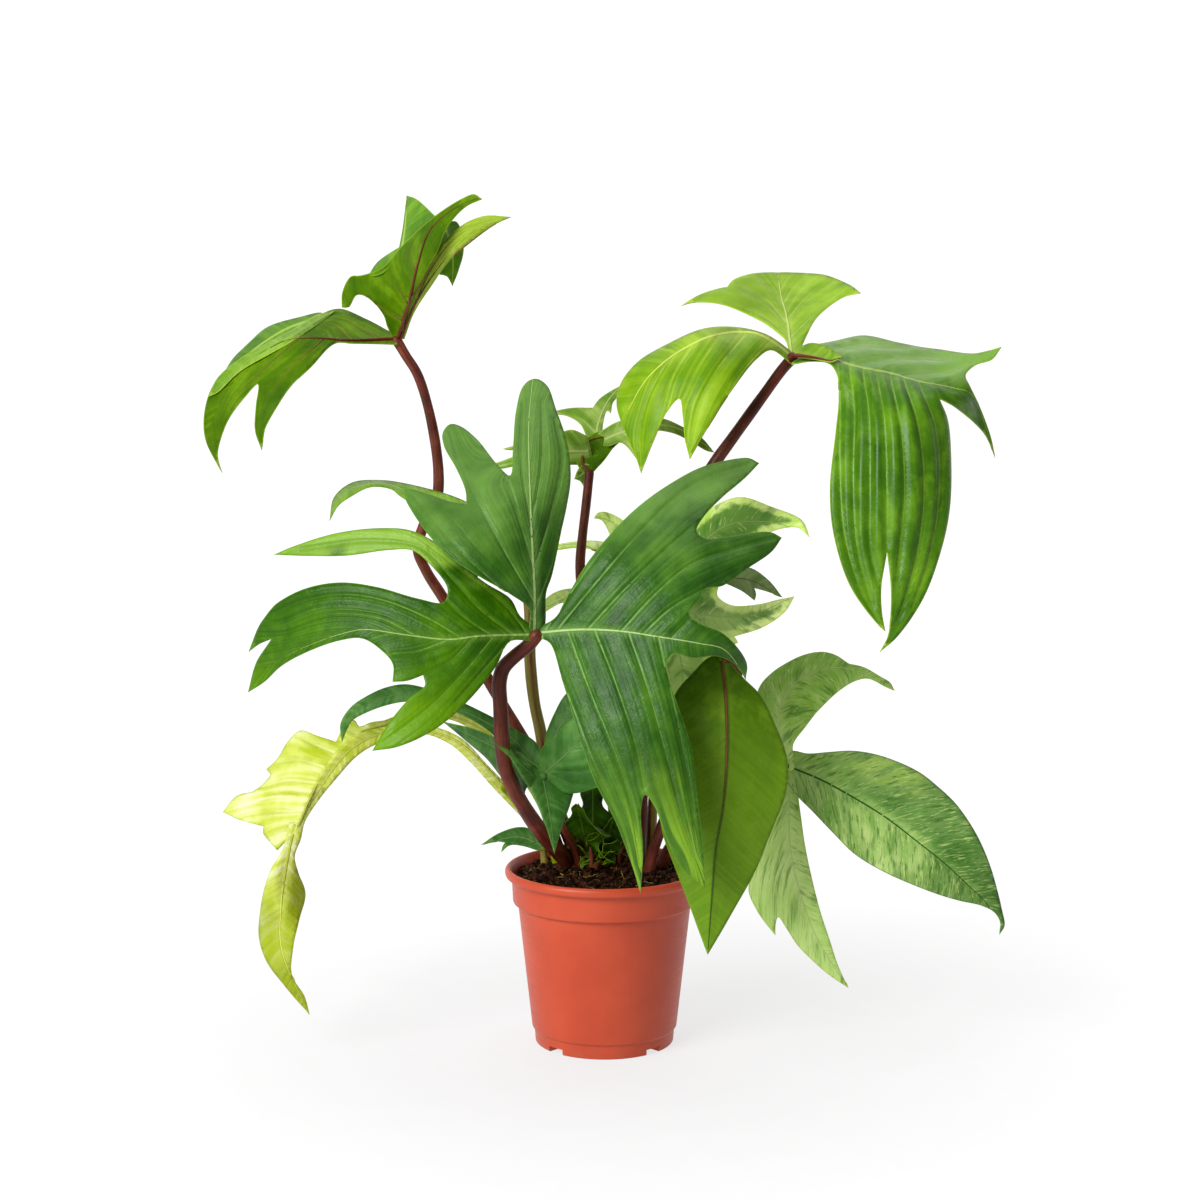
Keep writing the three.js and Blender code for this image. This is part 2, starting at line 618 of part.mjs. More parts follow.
const upperRight = {
  knob: { x: 110.5, y: 20, z: 412, radius: 4.4 },
  lobes: [
    { // upper, leaning back
      edge: [
        [[107, 421], [100.4, 427], [89.5, 434.4], [69, 443.3], [51.8, 444.5], [44.4, 442.5]],
        [[55, 449], [67.5, 453], [72, 453.8]],
        [[75, 457.5], [86.3, 461.4], [100.5, 462], [120.9, 461.6], [131, 460.2], [144.4, 454.2],
          [150.4, 449.5]],
        [[141, 447.5], [133.5, 443], [124.2, 434.4], [117.2, 421], [113, 411]],
        [[108, 411]],
      ],
      lie: [[110.5, 412, 20], [107, 436, 68], [101, 461, 122], [44, 443, 68], [150, 450, 83],
        [72, 448, 75], [132, 455, 104]],
      rib: [[110, 413], [107, 436], [103.6, 448.4], [101.5, 461]],
    },
    { // left, with two hanging fingers
      edge: [
        [[102, 422], [94.2, 426.5], [80.1, 429.9], [59.7, 429.2], [39.2, 421.6], [20.4, 410.6],
          [9.4, 396], [7.2, 384], [12, 369], [18.3, 354.3], [21.8, 344]],
        [[28.6, 362], [36.5, 379.3], [44, 388], [46.3, 377], [47.6, 363.7], [50.5, 352.2]],
        [[60.3, 369.8], [74.4, 392], [90, 411.7], [98, 416.5], [110, 408]],
        [[112, 414]],
      ],
      lie: [[110, 412, 20], [88, 425, 10], [63, 424, -3], [35, 409, -10], [23, 398, -13],
        [21.8, 344, -26], [50.5, 352, -44], [75, 392, -29], [80, 430, 29], [40, 422, 13],
        [9, 396, 0], [44, 388, -26]],
      rib: [[110, 413], [103, 419], [88, 427], [62.8, 425], [47, 418], [34.5, 409.4],
        [23.6, 398.4], [14, 382]],
    },
    { // right: a short half leaning back, a finger behind it and the hanging half
      edge: [
        [[118, 418.8], [135.2, 421.9], [152.4, 424.7], [172.8, 421.4], [195, 417], [215.5, 414.4],
          [226, 416.3], [233.5, 418.4]],
        [[228, 411], [218, 407.5], [212.5, 401.5], [215, 396.1], [220.9, 384.2], [228, 366],
          [231, 353]],
        [[224, 367.5], [207, 382.5], [197.3, 387.5]],
        [[202.5, 374.7], [205.2, 346.2], [204.4, 320.6], [199.6, 296.9], [189.8, 269.4],
          [174.9, 246.8], [164, 237]],
        [[168.9, 247], [170.4, 262], [170.2, 277.4], [167.8, 296.8]],
        [[164.8, 276], [165.3, 262], [167.6, 249.5]],
        [[160.6, 256.5], [145.9, 277.4], [135.9, 308], [133.5, 335], [136.5, 368], [138.2, 388],
          [136.8, 402], [132, 408.5], [122, 410], [110, 408]],
        [[109, 415]],
      ],
      lie: [[111, 412, 20], [135, 412, 5], [154, 406, -8], [186, 398.4, -16], [213, 393, -10],
        [152, 424.7, 52], [195, 417, 47], [133, 421.5, 42], [233, 418, 16], [137, 388, -16],
        [150, 360, -39], [135, 330, -44], [150, 290, -57], [168, 249, -65], [164, 237, -65],
        [190, 360, -44], [204, 335, -39], [199, 297, -49], [231, 353, 10], [221, 384, 3]],
      rib: [[111, 412], [133.6, 412.5], [141.5, 409.4], [154.3, 406.2], [170.2, 403],
        [186.2, 398.4], [202, 395.5], [213, 393]],
    },
  ],
  stem: {
    path: [[20, 4, STEM_FOOT], [20.5, 4, 108], [22, 8, 150], [25, 10, 215], [33, 10, 280],
      [47, 8, 321], [63.6, 5, 348], [76, 6, 365.5], [95, 12, 392], [104, 16, 404.5],
      [110.5, 20, 412]],
    radii: [4.2, 3.3],
  },
};

// Back leaf: small and pale

const back = {
  knob: { x: -9, y: 16, z: 345, radius: 3.6 },
  lobes: [
    { // hood, seen from below
      edge: [
        [[-13, 345], [-16.5, 350], [-15.5, 357.5], [-11, 364.5], [-4, 368.5], [4, 367.5],
          [10, 363.5]],
        [[5, 359], [0, 352], [-5, 346.5], [-9, 342]],
      ],
      lie: [[-9, 345, 16], [-14, 354, 21], [-5, 367, 29], [9, 363, 23]],
      rib: [[-9, 344], [-13, 350], [-10, 362], [4, 366]],
    },
    { // upper pair of fingers
      edge: [
        [[-14, 372.5], [-20.9, 377.3], [-33, 380]],
        [[-19.7, 382.8], [-7, 383]],
        [[-3.5, 387.8], [1.5, 391.5], [11, 397]],
        [[7.5, 389], [5, 386], [3.8, 379.5]],
        [[1.5, 381], [-0.9, 373], [-1, 365]],
        [[-10, 363]],
      ],
      lie: [[-8, 364, 27], [-12, 372, 34], [-33, 380, 47], [0, 388, 47], [10, 396, 55],
        [0, 372, 32]],
      rib: [[-6, 363], [-3, 376], [2, 387], [9, 395.5]],
    },
    { // left, forked behind the front leaf's upper lobe
      edge: [
        [[-18.7, 369.8], [-24, 369], [-36, 363], [-50, 361.3], [-61, 358.5]],
        [[-54, 357.6], [-49, 356]],
        [[-60, 351.8], [-75, 347]],
        [[-62, 346.6], [-46, 349.5], [-30, 349], [-16, 349]],
        [[-8, 352], [-10, 366]],
      ],
      lie: [[-11, 355, 20], [-24, 361, 16], [-45, 356, 21], [-61, 358, 29], [-75, 347, 31]],
      rib: [[-10, 357], [-30, 357], [-48, 358], [-60, 358.3]],
    },
    { // right, reaching to the upper right leaf's petiole
      edge: [
        [[4.6, 373], [9.8, 375], [22, 377], [34.6, 376.5], [46, 371.8], [57.7, 365], [65, 356.5]],
        [[60, 357.5], [50, 363.5], [39.2, 368.2], [28, 368.8], [22.5, 362], [20.5, 350.5]],
        [[10, 362], [2, 360], [-5, 362]],
        [[-5, 367]],
      ],
      lie: [[-2, 363, 26], [10, 368, 20], [35, 372, 20], [65, 357, 23], [20.5, 350.5, 8]],
      rib: [[-3, 363], [12, 369], [36, 372.5], [50, 367.5], [64, 357.5]],
    },
    { // small drooping finger left of the petiole
      edge: [
        [[-15.5, 347], [-18, 340.5]],
        [[-14.5, 339.4], [-12, 335.5]],
        [[-9.5, 341], [-7, 348]],
        [[-11, 350]],
      ],
      lie: [[-9, 348, 18], [-18, 340, 22], [-12, 335.5, 25]],
      rib: [[-9, 349], [-13.5, 343], [-17, 341]],
    },
  ],
  stem: {
    path: [[9, 10, STEM_FOOT], [9, 10, 106], [5, 12, 145], [-3, 8, 195], [-11, 6, 250],
      [-14.5, 8, 288], [-13, 10, 308], [-11, 13, 325], [-9, 16, 344]],
    radii: [3.4, 2.8],
  },
};

// Middle right leaf: cream and green, mostly behind the front leaf

const midRight = {
  knob: { x: 35, y: -43, z: 264, radius: 3.8 },
  lobes: [
    { // upper right
      edge: [
        [[36, 280], [43, 300], [52, 313], [64, 324], [80, 329.8], [98.9, 324.4], [117, 316.5],
          [122, 306]],
        [[114.6, 312], [102, 310.5], [84, 301], [62, 284], [40, 262]],
        [[32, 262]],
      ],
      lie: [[36, 264, -43], [58, 295, -26], [75, 320, -10], [100, 318, -10], [122, 306, -18]],
      rib: [[36, 264], [50, 293], [72, 313], [100, 315], [121, 307.5]],
    },
    { // right, dark, forked
      edge: [
        [[60, 284], [84.4, 288.3], [97, 281], [106.4, 270.2]],
        [[98, 273.5], [89, 275.8]],
        [[90.2, 272], [89.3, 268.2]],
        [[79, 275.3], [66, 279], [42, 259]],
        [[34, 266]],
      ],
      lie: [[37, 264, -42], [62, 279, -21], [88, 281, -3], [106, 270, 0]],
      rib: [[37, 264], [62, 279], [85, 281], [105, 270.8]],
    },
    { // right, light
      edge: [
        [[50, 274], [62, 280], [68, 277]],
        [[67.2, 271], [75, 265.4], [91.6, 266.2], [104, 269.2], [113, 271]],
        [[108.2, 262.4], [95.3, 253], [81.3, 247.7], [66, 244], [50, 248], [36, 258]],
        [[33, 267]],
      ],
      lie: [[36, 264, -44], [60, 262, -47], [62, 279, -26], [85, 257, -49], [113, 271, -42]],
      rib: [[36, 264], [60, 260], [85, 259], [111, 270]],
    },
    { // lower
      edge: [
        [[50, 250], [64, 248], [77, 247], [79.8, 243]],
        [[74, 240.5], [66, 236], [61, 222], [53, 206], [46, 192]],
        [[37, 208], [31, 228], [28, 248], [32, 262]],
        [[37, 264]],
      ],
      lie: [[35, 260, -46], [50, 230, -43], [46, 192, -34], [79, 244, -38], [31, 228, -39]],
      rib: [[35, 260], [45, 235], [47, 196]],
    },
    { // upper left, with a hooked tip
      edge: [
        [[36, 280], [28, 298], [11.6, 315.7], [0, 321.3], [-4.6, 320.4], [-6.4, 317.5]],
        [[-2, 316.5], [3.5, 307], [12, 288], [28, 262]],
        [[36, 262]],
      ],
      lie: [[34, 265, -43], [34, 285, -29], [14, 288, -26], [15, 310, -16], [-6, 318, -10]],
      rib: [[34, 265], [22, 296], [7, 314], [-5, 318.6]],
    },
    { // left, seen edge on, passing behind the back leaf's petiole
      edge: [
        [[10, 297], [0, 303.2], [-14, 304.2], [-28, 302.3], [-44, 297.5]],
        [[-30, 298.4], [-16, 300], [-2, 297.5], [12, 281], [27, 260]],
        [[35, 265]],
      ],
      lie: [[32, 264, -42], [10, 287, -10], [-14, 304, 35], [-14, 300, 25], [-44, 297.5, 34]],
      rib: [[31, 262], [10, 288], [-14, 302], [-43, 298]],
    },
    { // lower left, passing in front of it
      edge: [
        [[20, 270], [0, 272.5], [-20.4, 275.6], [-31, 272.5], [-36.5, 267], [-35.5, 261.2]],
        [[-31.5, 263.8], [-24, 267], [-8, 261], [14, 252], [34, 258]],
        [[36, 265]],
      ],
      lie: [[33, 263, -44], [10, 262, -47], [-12, 268, -47], [-35, 262, -47]],
      rib: [[33, 263], [10, 265], [-18, 271], [-34, 264.5]],
    },
  ],
  stem: {
    path: [[27, 17, STEM_FOOT], [27.5, 16, 108], [29.5, 10, 150], [36, -8, 200], [37, -23, 235],
      [35, -40, 262]],
    radii: [3.2, 2.8],
  },
};

// Lower right leaf: cream and green, three lobes

const lowerRight = {
  knob: { x: 111, y: -17, z: 168, radius: 4 },
  lobes: [
    { // up and over to the right
      edge: [
        [[98, 190], [91, 208], [93, 217], [100, 225], [110, 231.5], [120, 235.8], [130, 237.3],
          [138, 235.5], [146, 230.5]],
        [[155, 228.4], [165, 222.8], [171, 219], [174, 214]],
        [[168, 216.5], [158, 221.3], [150, 219.8], [140, 213.5], [130, 204], [120, 191.5],
          [114, 183.5], [112.8, 179.5], [116, 168]],
        [[108, 165]],
      ],
      lie: [[111, 168, -17], [103, 205, -5], [130, 220, 13], [100, 222, 8], [174, 214, 42]],
      rib: [[111, 168], [104, 195], [112, 217], [136, 228], [160, 223], [173, 215]],
    },
    { // large, ovate
      edge: [
        [[112, 177], [122, 175.8], [135, 177], [148, 177.8], [160, 176], [175, 171], [190, 164],
          [200, 156.5], [210, 147], [220, 133], [228, 119], [234, 105], [238, 91], [240.5, 80],
          [242.3, 70], [239.5, 64.3]],
        [[239.8, 72], [236, 78.5], [228, 82.5], [215, 85.5], [200, 90], [180, 98], [165, 105.5],
          [150, 115], [138, 127], [125, 141], [115, 151], [108, 161]],
        [[107, 170]],
      ],
      lie: [[110, 168, -17], [150, 149, -29], [200, 115, -39], [239.5, 64.3, -39], [160, 176, -5],
        [213, 140, -16], [150, 115, -44], [195, 92, -49], [228, 83, -42]],
      rib: [[111, 168], [130, 160], [150, 149], [170, 136.5], [190, 121], [205, 109], [220, 95],
        [232, 83], [239.5, 67]],
    },
    { // down, with a side tooth
      edge: [
        [[103, 145], [95, 115], [87, 93], [92, 80], [97, 72.5], [103.7, 64.2]],
        [[103.6, 71], [105.3, 75.5], [110, 69], [117, 58], [125, 49.5], [135, 40.5], [148.5, 31]],
        [[142, 45], [137, 60], [131, 78], [126, 97], [121, 120], [118, 140], [114, 168]],
        [[106, 168]],
      ],
      lie: [[111, 166, -17], [112, 110, -34], [104, 65, -36], [126, 60, -39], [148.5, 31, -34]],
      rib: [[111, 166], [112, 120], [119, 88], [130, 60], [147.5, 32.5]],
    },
  ],
  stem: {
    path: [[33, 4, STEM_FOOT], [34, 3.5, 106], [42, 1, 122], [62, -5, 142], [86, -10, 158],
      [110, -17, 168]],
    radii: [3.6, 3],
  },
};

// Hanging leaf: one ovate blade in front of the pot's right rim

const hanging = {
  knob: { x: 70.5, y: -62, z: 233.5, radius: 3.4 },
  lobes: [
    {
      edge: [
        [[75, 231], [83.6, 221], [92.9, 211.6], [102.4, 194], [109.6, 173], [109, 152],
          [101.2, 129], [90.3, 102.7], [77, 77], [62.6, 52]],
        [[57, 67], [43.4, 104.2], [34.5, 129], [32.5, 152], [35, 182], [42.3, 211.7], [53, 225],
          [62, 234], [70, 236]],
      ],
      lie: [[70, 232, -62], [73, 188, -86], [71, 140, -99], [66, 103, -107], [62.6, 52, -107],
        [110, 172, -73], [90, 103, -98], [34, 150, -86], [45, 104, -99]],
      rib: [[70, 232], [72.6, 204.6], [73, 170], [71, 140.8], [67, 117], [65, 90], [62.8, 56]],
    },
  ],
  stem: {
    path: [[27, -10, STEM_FOOT], [27.5, -10, 108], [38, -17, 140], [58, -29, 180], [74, -40, 210],
      [79.5, -48, 222], [78.5, -56, 230], [71, -62, 234]],
    radii: [3.4, 2.6],
  },
};

// New leaf: yellow-green, stalk and blade in one

const young = {
  lobes: [
    { // channelled stalk, arching out to the left
      edge: [
        [[-40, 138], [-54, 152], [-70, 168.5], [-85, 184.5], [-100, 191.5], [-118, 193.5],
          [-134, 192], [-150, 187], [-160, 178.5], [-168, 168], [-176, 154], [-184, 137],
          [-190, 122]],
        [[-184, 124], [-180, 135], [-170, 150], [-160, 162], [-150, 173], [-140, 180],
          [-120, 187.2], [-107, 187.5], [-92, 181], [-80, 170], [-67, 155], [-50, 137],
          [-34, 120]],
        [[-28, 124]],
      ],
      lie: [[-31, 122, 3], [-45, 139, -13], [-60, 155, -21], [-90, 184, -26], [-120, 190.5, -26],
        [-150, 180, -26], [-175, 148, -29], [-187, 124, -31]],
    },
    { // second strand, above the stalk
      edge: [
        [[-33.5, 146], [-49, 170], [-62, 186], [-78, 197.5], [-92, 202.5], [-110, 203],
          [-128, 197.5], [-147, 189]],
        [[-130, 189.5], [-112, 197], [-93, 196.5], [-79, 190], [-66, 179.5], [-54, 166],
          [-40, 143], [-33, 120]],
        [[-27, 122]],
      ],
      lie: [[-30, 121, 4], [-37, 145, -10], [-52, 168, -21], [-70, 188, -23], [-100, 200, -25],
        [-140, 191, -26]],
    },
    { // the crinkled half blade
      edge: [
        [[-186, 130], [-178, 148], [-168, 166], [-150, 184], [-132, 190], [-128, 196.5]],
        [[-140, 195], [-147, 192.5], [-150, 196.4], [-156, 192], [-161, 183]],
        [[-172, 186.5], [-182, 189.8], [-190, 183], [-197, 172.5], [-203.5, 166.5]],
        [[-201, 163]],
        [[-207, 156], [-212, 152.5]],
        [[-221, 150], [-229.5, 140]],
        [[-220, 135.4], [-205, 131.2]],
        [[-205.5, 127.5], [-197, 116.5]],
        [[-192, 122]],
      ],
      lie: [[-130, 192, -25], [-150, 184, -26], [-168, 166, -27], [-186, 130, -31],
        [-156, 193, -16], [-182, 189, -8], [-203, 167, 3], [-190, 160, -18], [-212, 152, 5],
        [-229.5, 140, 13], [-205, 140, -10], [-197, 117, -23]],
      rib: [[-130, 191.5], [-150, 184], [-168, 166], [-178, 148], [-187, 127]],
    },
    { // the folded tip that hangs down
      edge: [
        [[-194, 118], [-201, 106], [-206, 93], [-208.8, 78], [-209, 62], [-204.5, 47], [-195, 33],
          [-179.5, 14.3]],
        [[-182.5, 26], [-190, 39], [-188.7, 56], [-185, 73], [-180.6, 90], [-185, 103],
          [-187, 113], [-183, 124], [-181, 134]],
        [[-190, 134]],
      ],
      lie: [[-187, 126, -31], [-193, 110, -34], [-196, 80, -42], [-209, 70, -23], [-181, 90, -26],
        [-195, 50, -42], [-179.5, 14, -34]],
      rib: [[-187, 132], [-192, 108], [-196, 80], [-196, 55], [-181, 17]],
    },
  ],
  stem: {
    path: [[-27, 12, STEM_FOOT], [-27.3, 12, 105], [-31.5, 6, 119], [-45, -12, 138],
      [-60, -20, 155]],
    radii: [3.4, 2.6],
  },
};

// Low centre leaf: dark blue-green, with a strap-like lobe to the left

const low = {
  knob: { x: -37, y: -60, z: 162, radius: 3.2 },
  lobes: [
    { // strap to the left
      edge: [
        [[-40.2, 181.6], [-51.2, 189.4], [-66, 197.5], [-84, 206.5], [-97, 212], [-110, 216.5],
          [-120, 218], [-131, 216], [-142, 211], [-152, 204], [-158.3, 194], [-157.7, 182.7]],
        [[-152, 195], [-143, 200.5], [-131, 205], [-119, 207.3], [-105, 206], [-88, 200.5],
          [-70, 190], [-56, 176], [-42, 160]],
        [[-34, 162]],
      ],
      lie: [[-37, 162, -60], [-45, 180, -53], [-60, 188, -49], [-84, 203, -47], [-120, 213, -44],
        [-157, 184, -44]],
      rib: [[-38, 162], [-52, 182], [-66, 192], [-90, 204], [-120, 212], [-148, 202],
        [-158, 185]],
    },
    { // lower left
      edge: [
        [[-58, 181], [-78, 191], [-97, 194.8]],
        [[-84, 184.5], [-72, 173.8], [-63, 162], [-55, 152], [-47, 145]],
        [[-47.5, 153], [-43, 159], [-36, 159]],
        [[-38, 167]],
      ],
      lie: [[-39, 163, -56], [-58, 172, -47], [-97, 194.8, -39], [-47, 146, -35], [-50, 156, -40]],
      rib: [[-38, 162], [-60, 176], [-95, 194]],
    },
    { // right, behind the front leaf's edge
      edge: [
        [[-40, 172], [-37, 180.4], [-30, 186], [-21, 195.5], [-8, 203], [10, 206]],
        [[14, 190], [8, 172], [-1, 157], [-8, 154], [-17, 151.5], [-26, 152], [-36, 157]],
        [[-40, 162]],
      ],
      lie: [[-37, 163, -60], [-20, 180, -68], [10, 200, -73], [-8, 156, -70]],
      rib: [[-37, 163], [-20, 178], [8, 200]],
    },
    { // down
      edge: [
        [[-49, 168], [-41.4, 146.8], [-34.5, 129], [-30, 114.6]],
        [[-25.8, 130], [-20, 147.5], [-19, 153], [-28, 164]],
        [[-36, 168]],
      ],
      lie: [[-37, 162, -60], [-32, 140, -75], [-30, 115, -78], [-48, 168, -62]],
      rib: [[-37, 162], [-33, 140], [-30.2, 117]],
    },
    { // slender, crossing in front of the front leaf's petiole
      edge: [
        [[-50, 171], [-57, 178], [-66, 182.3]],
        [[-57.5, 174.5], [-49.5, 161], [-43, 151]],
        [[-37, 158]],
      ],
      lie: [[-40, 160, -62], [-50, 173, -75], [-49, 159, -74], [-57.5, 175, -77], [-66, 182, -78]],
      rib: [[-40, 160], [-52, 171], [-65, 181.3]],
    },
    { // light, upright, behind the right lobe
      edge: [
        [[-36, 183], [-34.5, 190], [-30, 200.5], [-23.5, 211.5], [-10, 222]],
        [[-5, 205], [-15, 190], [-28, 176]],
        [[-37, 176]],
      ],
      lie: [[-34, 178, -61], [-32, 198, -53], [-12, 196, -58], [-10, 222, -49]],
      rib: [[-34, 178], [-24, 198], [-11, 220]],
    },
  ],
  stem: {
    path: [[-14.8, -4.5, STEM_FOOT], [-15, -5, 106], [-17.8, -13, 117], [-23.5, -29, 128],
      [-30, -46, 142], [-37, -60, 162]],
    radii: [2.4, 2.2],
  },
};

// Rim leaf: small, over the pot's left rim

const rim = {
  knob: { x: -37, y: 18, z: 119.5, radius: 2.6 },
  lobes: [
    {
      edge: [
        [[-44, 129.5], [-52, 130.7], [-64, 127], [-75, 120]],
        [[-66, 122.3], [-60, 121.4]],
        [[-61.5, 119], [-62.3, 115.5]],
        [[-57, 119.6], [-48, 118.8], [-40, 116.5], [-34, 117]],
        [[-34, 122]],
      ],
      lie: [[-37, 119.5, 18], [-50, 124, 22], [-75, 120, 26], [-62, 115.5, 18]],
      rib: [[-37, 119.5], [-52, 125], [-74, 120.3]],
    },
  ],
  stem: {
    path: [[-36, 13, STEM_FOOT], [-36, 13, 104], [-36.5, 18, 112], [-37, 18, 119]],
    radii: [2.2, 2],
  },
};

// Middle left leaf: one arched lobe shows behind the front leaf

const midLeft = {
  knob: { x: -71, y: -8, z: 316, radius: 4 },
  lobes: [
    { // arched to the left
      edge: [
        [[-84, 328], [-100, 334], [-118, 338.3], [-133, 340.3], [-150, 338.5], [-160.5, 330],
          [-163.5, 316]],
        [[-158, 325], [-149, 331], [-138, 336], [-126, 334.5], [-121, 330.5], [-112, 325.5],
          [-95, 318], [-72, 310]],
        [[-66, 318]],
      ],
      lie: [[-71, 316, -8], [-100, 333, 6], [-100, 321, -6], [-133, 340, 18], [-135, 336.5, 5],
        [-163.5, 316, 8]],
      rib: [[-71, 316], [-100, 327], [-133, 338.5], [-156, 332], [-163, 318]],
    },
    { // upward
      edge: [
        [[-66, 330], [-56, 338], [-42, 340]],
        [[-44, 326], [-54, 314], [-66, 309]],
        [[-74, 314]],
      ],
      lie: [[-71, 316, -8], [-60, 334, -10], [-50, 320, -18], [-42, 340, -21]],
      rib: [[-71, 316], [-58, 326], [-43.5, 339]],
    },
    { // downward
      edge: [
        [[-80, 308], [-87, 290], [-87, 273]],
        [[-74, 284], [-66, 300], [-64, 312]],
        [[-70, 320]],
      ],
      lie: [[-71, 316, -8], [-86, 292, -16], [-68, 296, -21], [-87, 273, -23]],
      rib: [[-71, 316], [-78, 296], [-86.5, 275]],
    },
  ],
  stem: {
    path: [[-24, 22, STEM_FOOT], [-24.5, 22, 106], [-33, 9.5, 134], [-37.5, 2, 184],
      [-42.2, -1, 208.4], [-44.6, -4, 235], [-44.5, -6, 262], [-49, -8, 287], [-59, -8, 305],
      [-71, -8, 316]],
    radii: [3.9, 3.3],
  },
};

// Crown shoots: young leaves round a low crown, [lean angle, tilt, length, width]

const SHOOT_CENTRE = [-4, 2];
const SHOOTS = [
  [265, 12, 38, 20], [235, 18, 34, 17], [300, 16, 36, 18], [105, 4, 48, 20], [130, 8, 46, 18],
  [20, 8, 36, 16], [200, 18, 30, 14], [340, 18, 32, 15], [270, 24, 24, 13], [155, 12, 42, 16],
];
const SHOOT_FOOT = 96;
const CROWN_RADIUS = 8;

function buildShoots() {
  const [cx, cy] = SHOOT_CENTRE;
  const crown = new THREE.ConeGeometry(CROWN_RADIUS, 24, 10).rotateX(Math.PI / 2);
  const pieces = [solidOf(crown.translate(cx, cy, SHOOT_FOOT + 8))];
  SHOOTS.forEach(([angle, tilt, length, width]) => {
    const shoot = new THREE.SphereGeometry(1, 6, 5).scale(0.42 * width, 0.1 * width, length / 2);
    shoot.translate(0, 0, length / 2);
    const at = shoot.attributes.position;
    for (let i = 0; i < at.count; i += 1) {
      const up = at.getZ(i) / length;
      at.setX(i, at.getX(i) * (1.25 - up));
      at.setY(i, at.getY(i) * (1.25 - up) + 6 * up * up);
    }
    shoot.rotateX(-THREE.MathUtils.degToRad(tilt)).rotateZ(THREE.MathUtils.degToRad(angle - 90));
    pieces.push(solidOf(shoot.translate(cx, cy, SHOOT_FOOT + 4)));
  });
  return join(pieces);
}

function shootHole() {
  const [cx, cy] = SHOOT_CENTRE;
  const hole = new THREE.CylinderGeometry(CROWN_RADIUS + 1, CROWN_RADIUS + 1, 40, 16);
  return solidOf(hole.rotateX(Math.PI / 2).translate(cx, cy, SHOOT_FOOT - 4 - CLEARANCE + 20));
}

// The plant

const plant = new THREE.Group();

function addNode(name, solid, colour, roughness) {
  const mesh = new THREE.Mesh(geometryOf(solid), material(colour, roughness));
  mesh.name = name;
  plant.add(mesh);
}

const LEAVES = {
  front: [front, COLOURS.deep],
  upper_left: [upperLeft, COLOURS.olive],
  upper_right: [upperRight, COLOURS.lime],
  back: [back, COLOURS.pale],
  mid_right: [midRight, COLOURS.cream],
  lower_right: [lowerRight, COLOURS.cream],
  hanging: [hanging, COLOURS.olive],
  low: [low, COLOURS.dark],
  rim: [rim, COLOURS.dark],
  mid_left: [midLeft, COLOURS.lime],
};

addNode('pot', buildPot(), COLOURS.pot, 0.45);
const stems = [...Object.values(LEAVES).map(([shape]) => shape.stem), young.stem];
addNode('soil', buildSoil(stems).subtract(shootHole()), COLOURS.soil, 0.95);
addNode('shoots', buildShoots(), COLOURS.dark, 0.6);
Object.entries(LEAVES).forEach(([name, [shape, colour]]) => {
  addNode(`blade_${name}`, leaf(shape), colour, 0.5);
  addNode(`petiole_${name}`, petiole(shape), COLOURS.stem, 0.45);
});
const youngPieces = [...young.lobes.map(lobe), wideStem(young.stem, 0)];
addNode('leaf_young', placed(join(youngPieces)), COLOURS.young, 0.5);

export default plant;
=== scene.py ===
import math
import random

import bpy
import numpy as np
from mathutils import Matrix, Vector
from mathutils.geometry import delaunay_2d_cdt


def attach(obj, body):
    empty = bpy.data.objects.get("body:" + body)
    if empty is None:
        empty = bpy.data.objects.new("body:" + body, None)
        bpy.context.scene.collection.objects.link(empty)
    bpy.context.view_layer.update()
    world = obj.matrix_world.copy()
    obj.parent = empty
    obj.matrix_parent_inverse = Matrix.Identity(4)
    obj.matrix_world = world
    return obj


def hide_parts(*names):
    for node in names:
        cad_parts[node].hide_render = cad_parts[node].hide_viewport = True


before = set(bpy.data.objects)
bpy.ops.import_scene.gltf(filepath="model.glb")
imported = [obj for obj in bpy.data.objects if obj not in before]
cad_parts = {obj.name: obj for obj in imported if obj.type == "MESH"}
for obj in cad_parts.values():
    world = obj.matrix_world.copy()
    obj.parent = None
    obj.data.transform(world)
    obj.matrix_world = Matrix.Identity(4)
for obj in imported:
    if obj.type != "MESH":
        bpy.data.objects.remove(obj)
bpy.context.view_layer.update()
MM = 0.001

# Where the outlines are seen from
EYE_X = -2.7
EYE_DISTANCE = 1300
EYE_HEIGHT = 417

# Steps along lines, and between the points of a sheet
OUTLINE_STEP = 1.8
LINE_STEP = 2.5
STALK_STEP = 2.5
GUIDE_STEP = 6
SLOPE_STEP = 0.5
SPACING = 2.0
YOUNG_SPACING = 2.2
LEAST_FROM_BORDER = 0.7
LEAST_BETWEEN_LINES = 0.9
LONGEST_GAP = 6

# Leaves: half the thickness of a sheet, its pleats, the groove along its rib and the waves
# of its edge, how much of a rib stands out of it, and how far back toward the leaf's foot
# a vein leaves the rib
HALF_THICKNESS = 0.24
HALF_BLADE = 0.2
PLEAT = 0.75
PLEAT_REACH = 3.2
GROOVE = 0.5
GROOVE_REACH = 2.2
WAVE = 0.5
WAVE_REACH = 9
RIB_SHOWS = 0.12
RIB_TIP = 0.25
RIB_SIDES = 8
VEIN_TIP = 0.12
VEIN_SIDES = 5
VEIN_LEAN = 0.8

# Stalks: their sides, how much a foot may widen, the swelling below the leaf, and the
# height at which they start, inside the soil
STALK_SIDES = 16
WIDEST_FOOT = 1.3
KNOB_REACH = 5
KNOB_SHARE = 0.8
STEM_FOOT = 90

# Paints: how strong the studio's light is, the grain of a leaf's mottling, what sets one
# lobe's pattern apart from the next one's, a side vein's width, and the distance to an edge
# that a part has none of
LIGHT = 1.4
PATCH_SCALE = 0.03
TONE_SPREAD = 7.3
VEIN_WIDTH = 0.5
FAR = 9.0

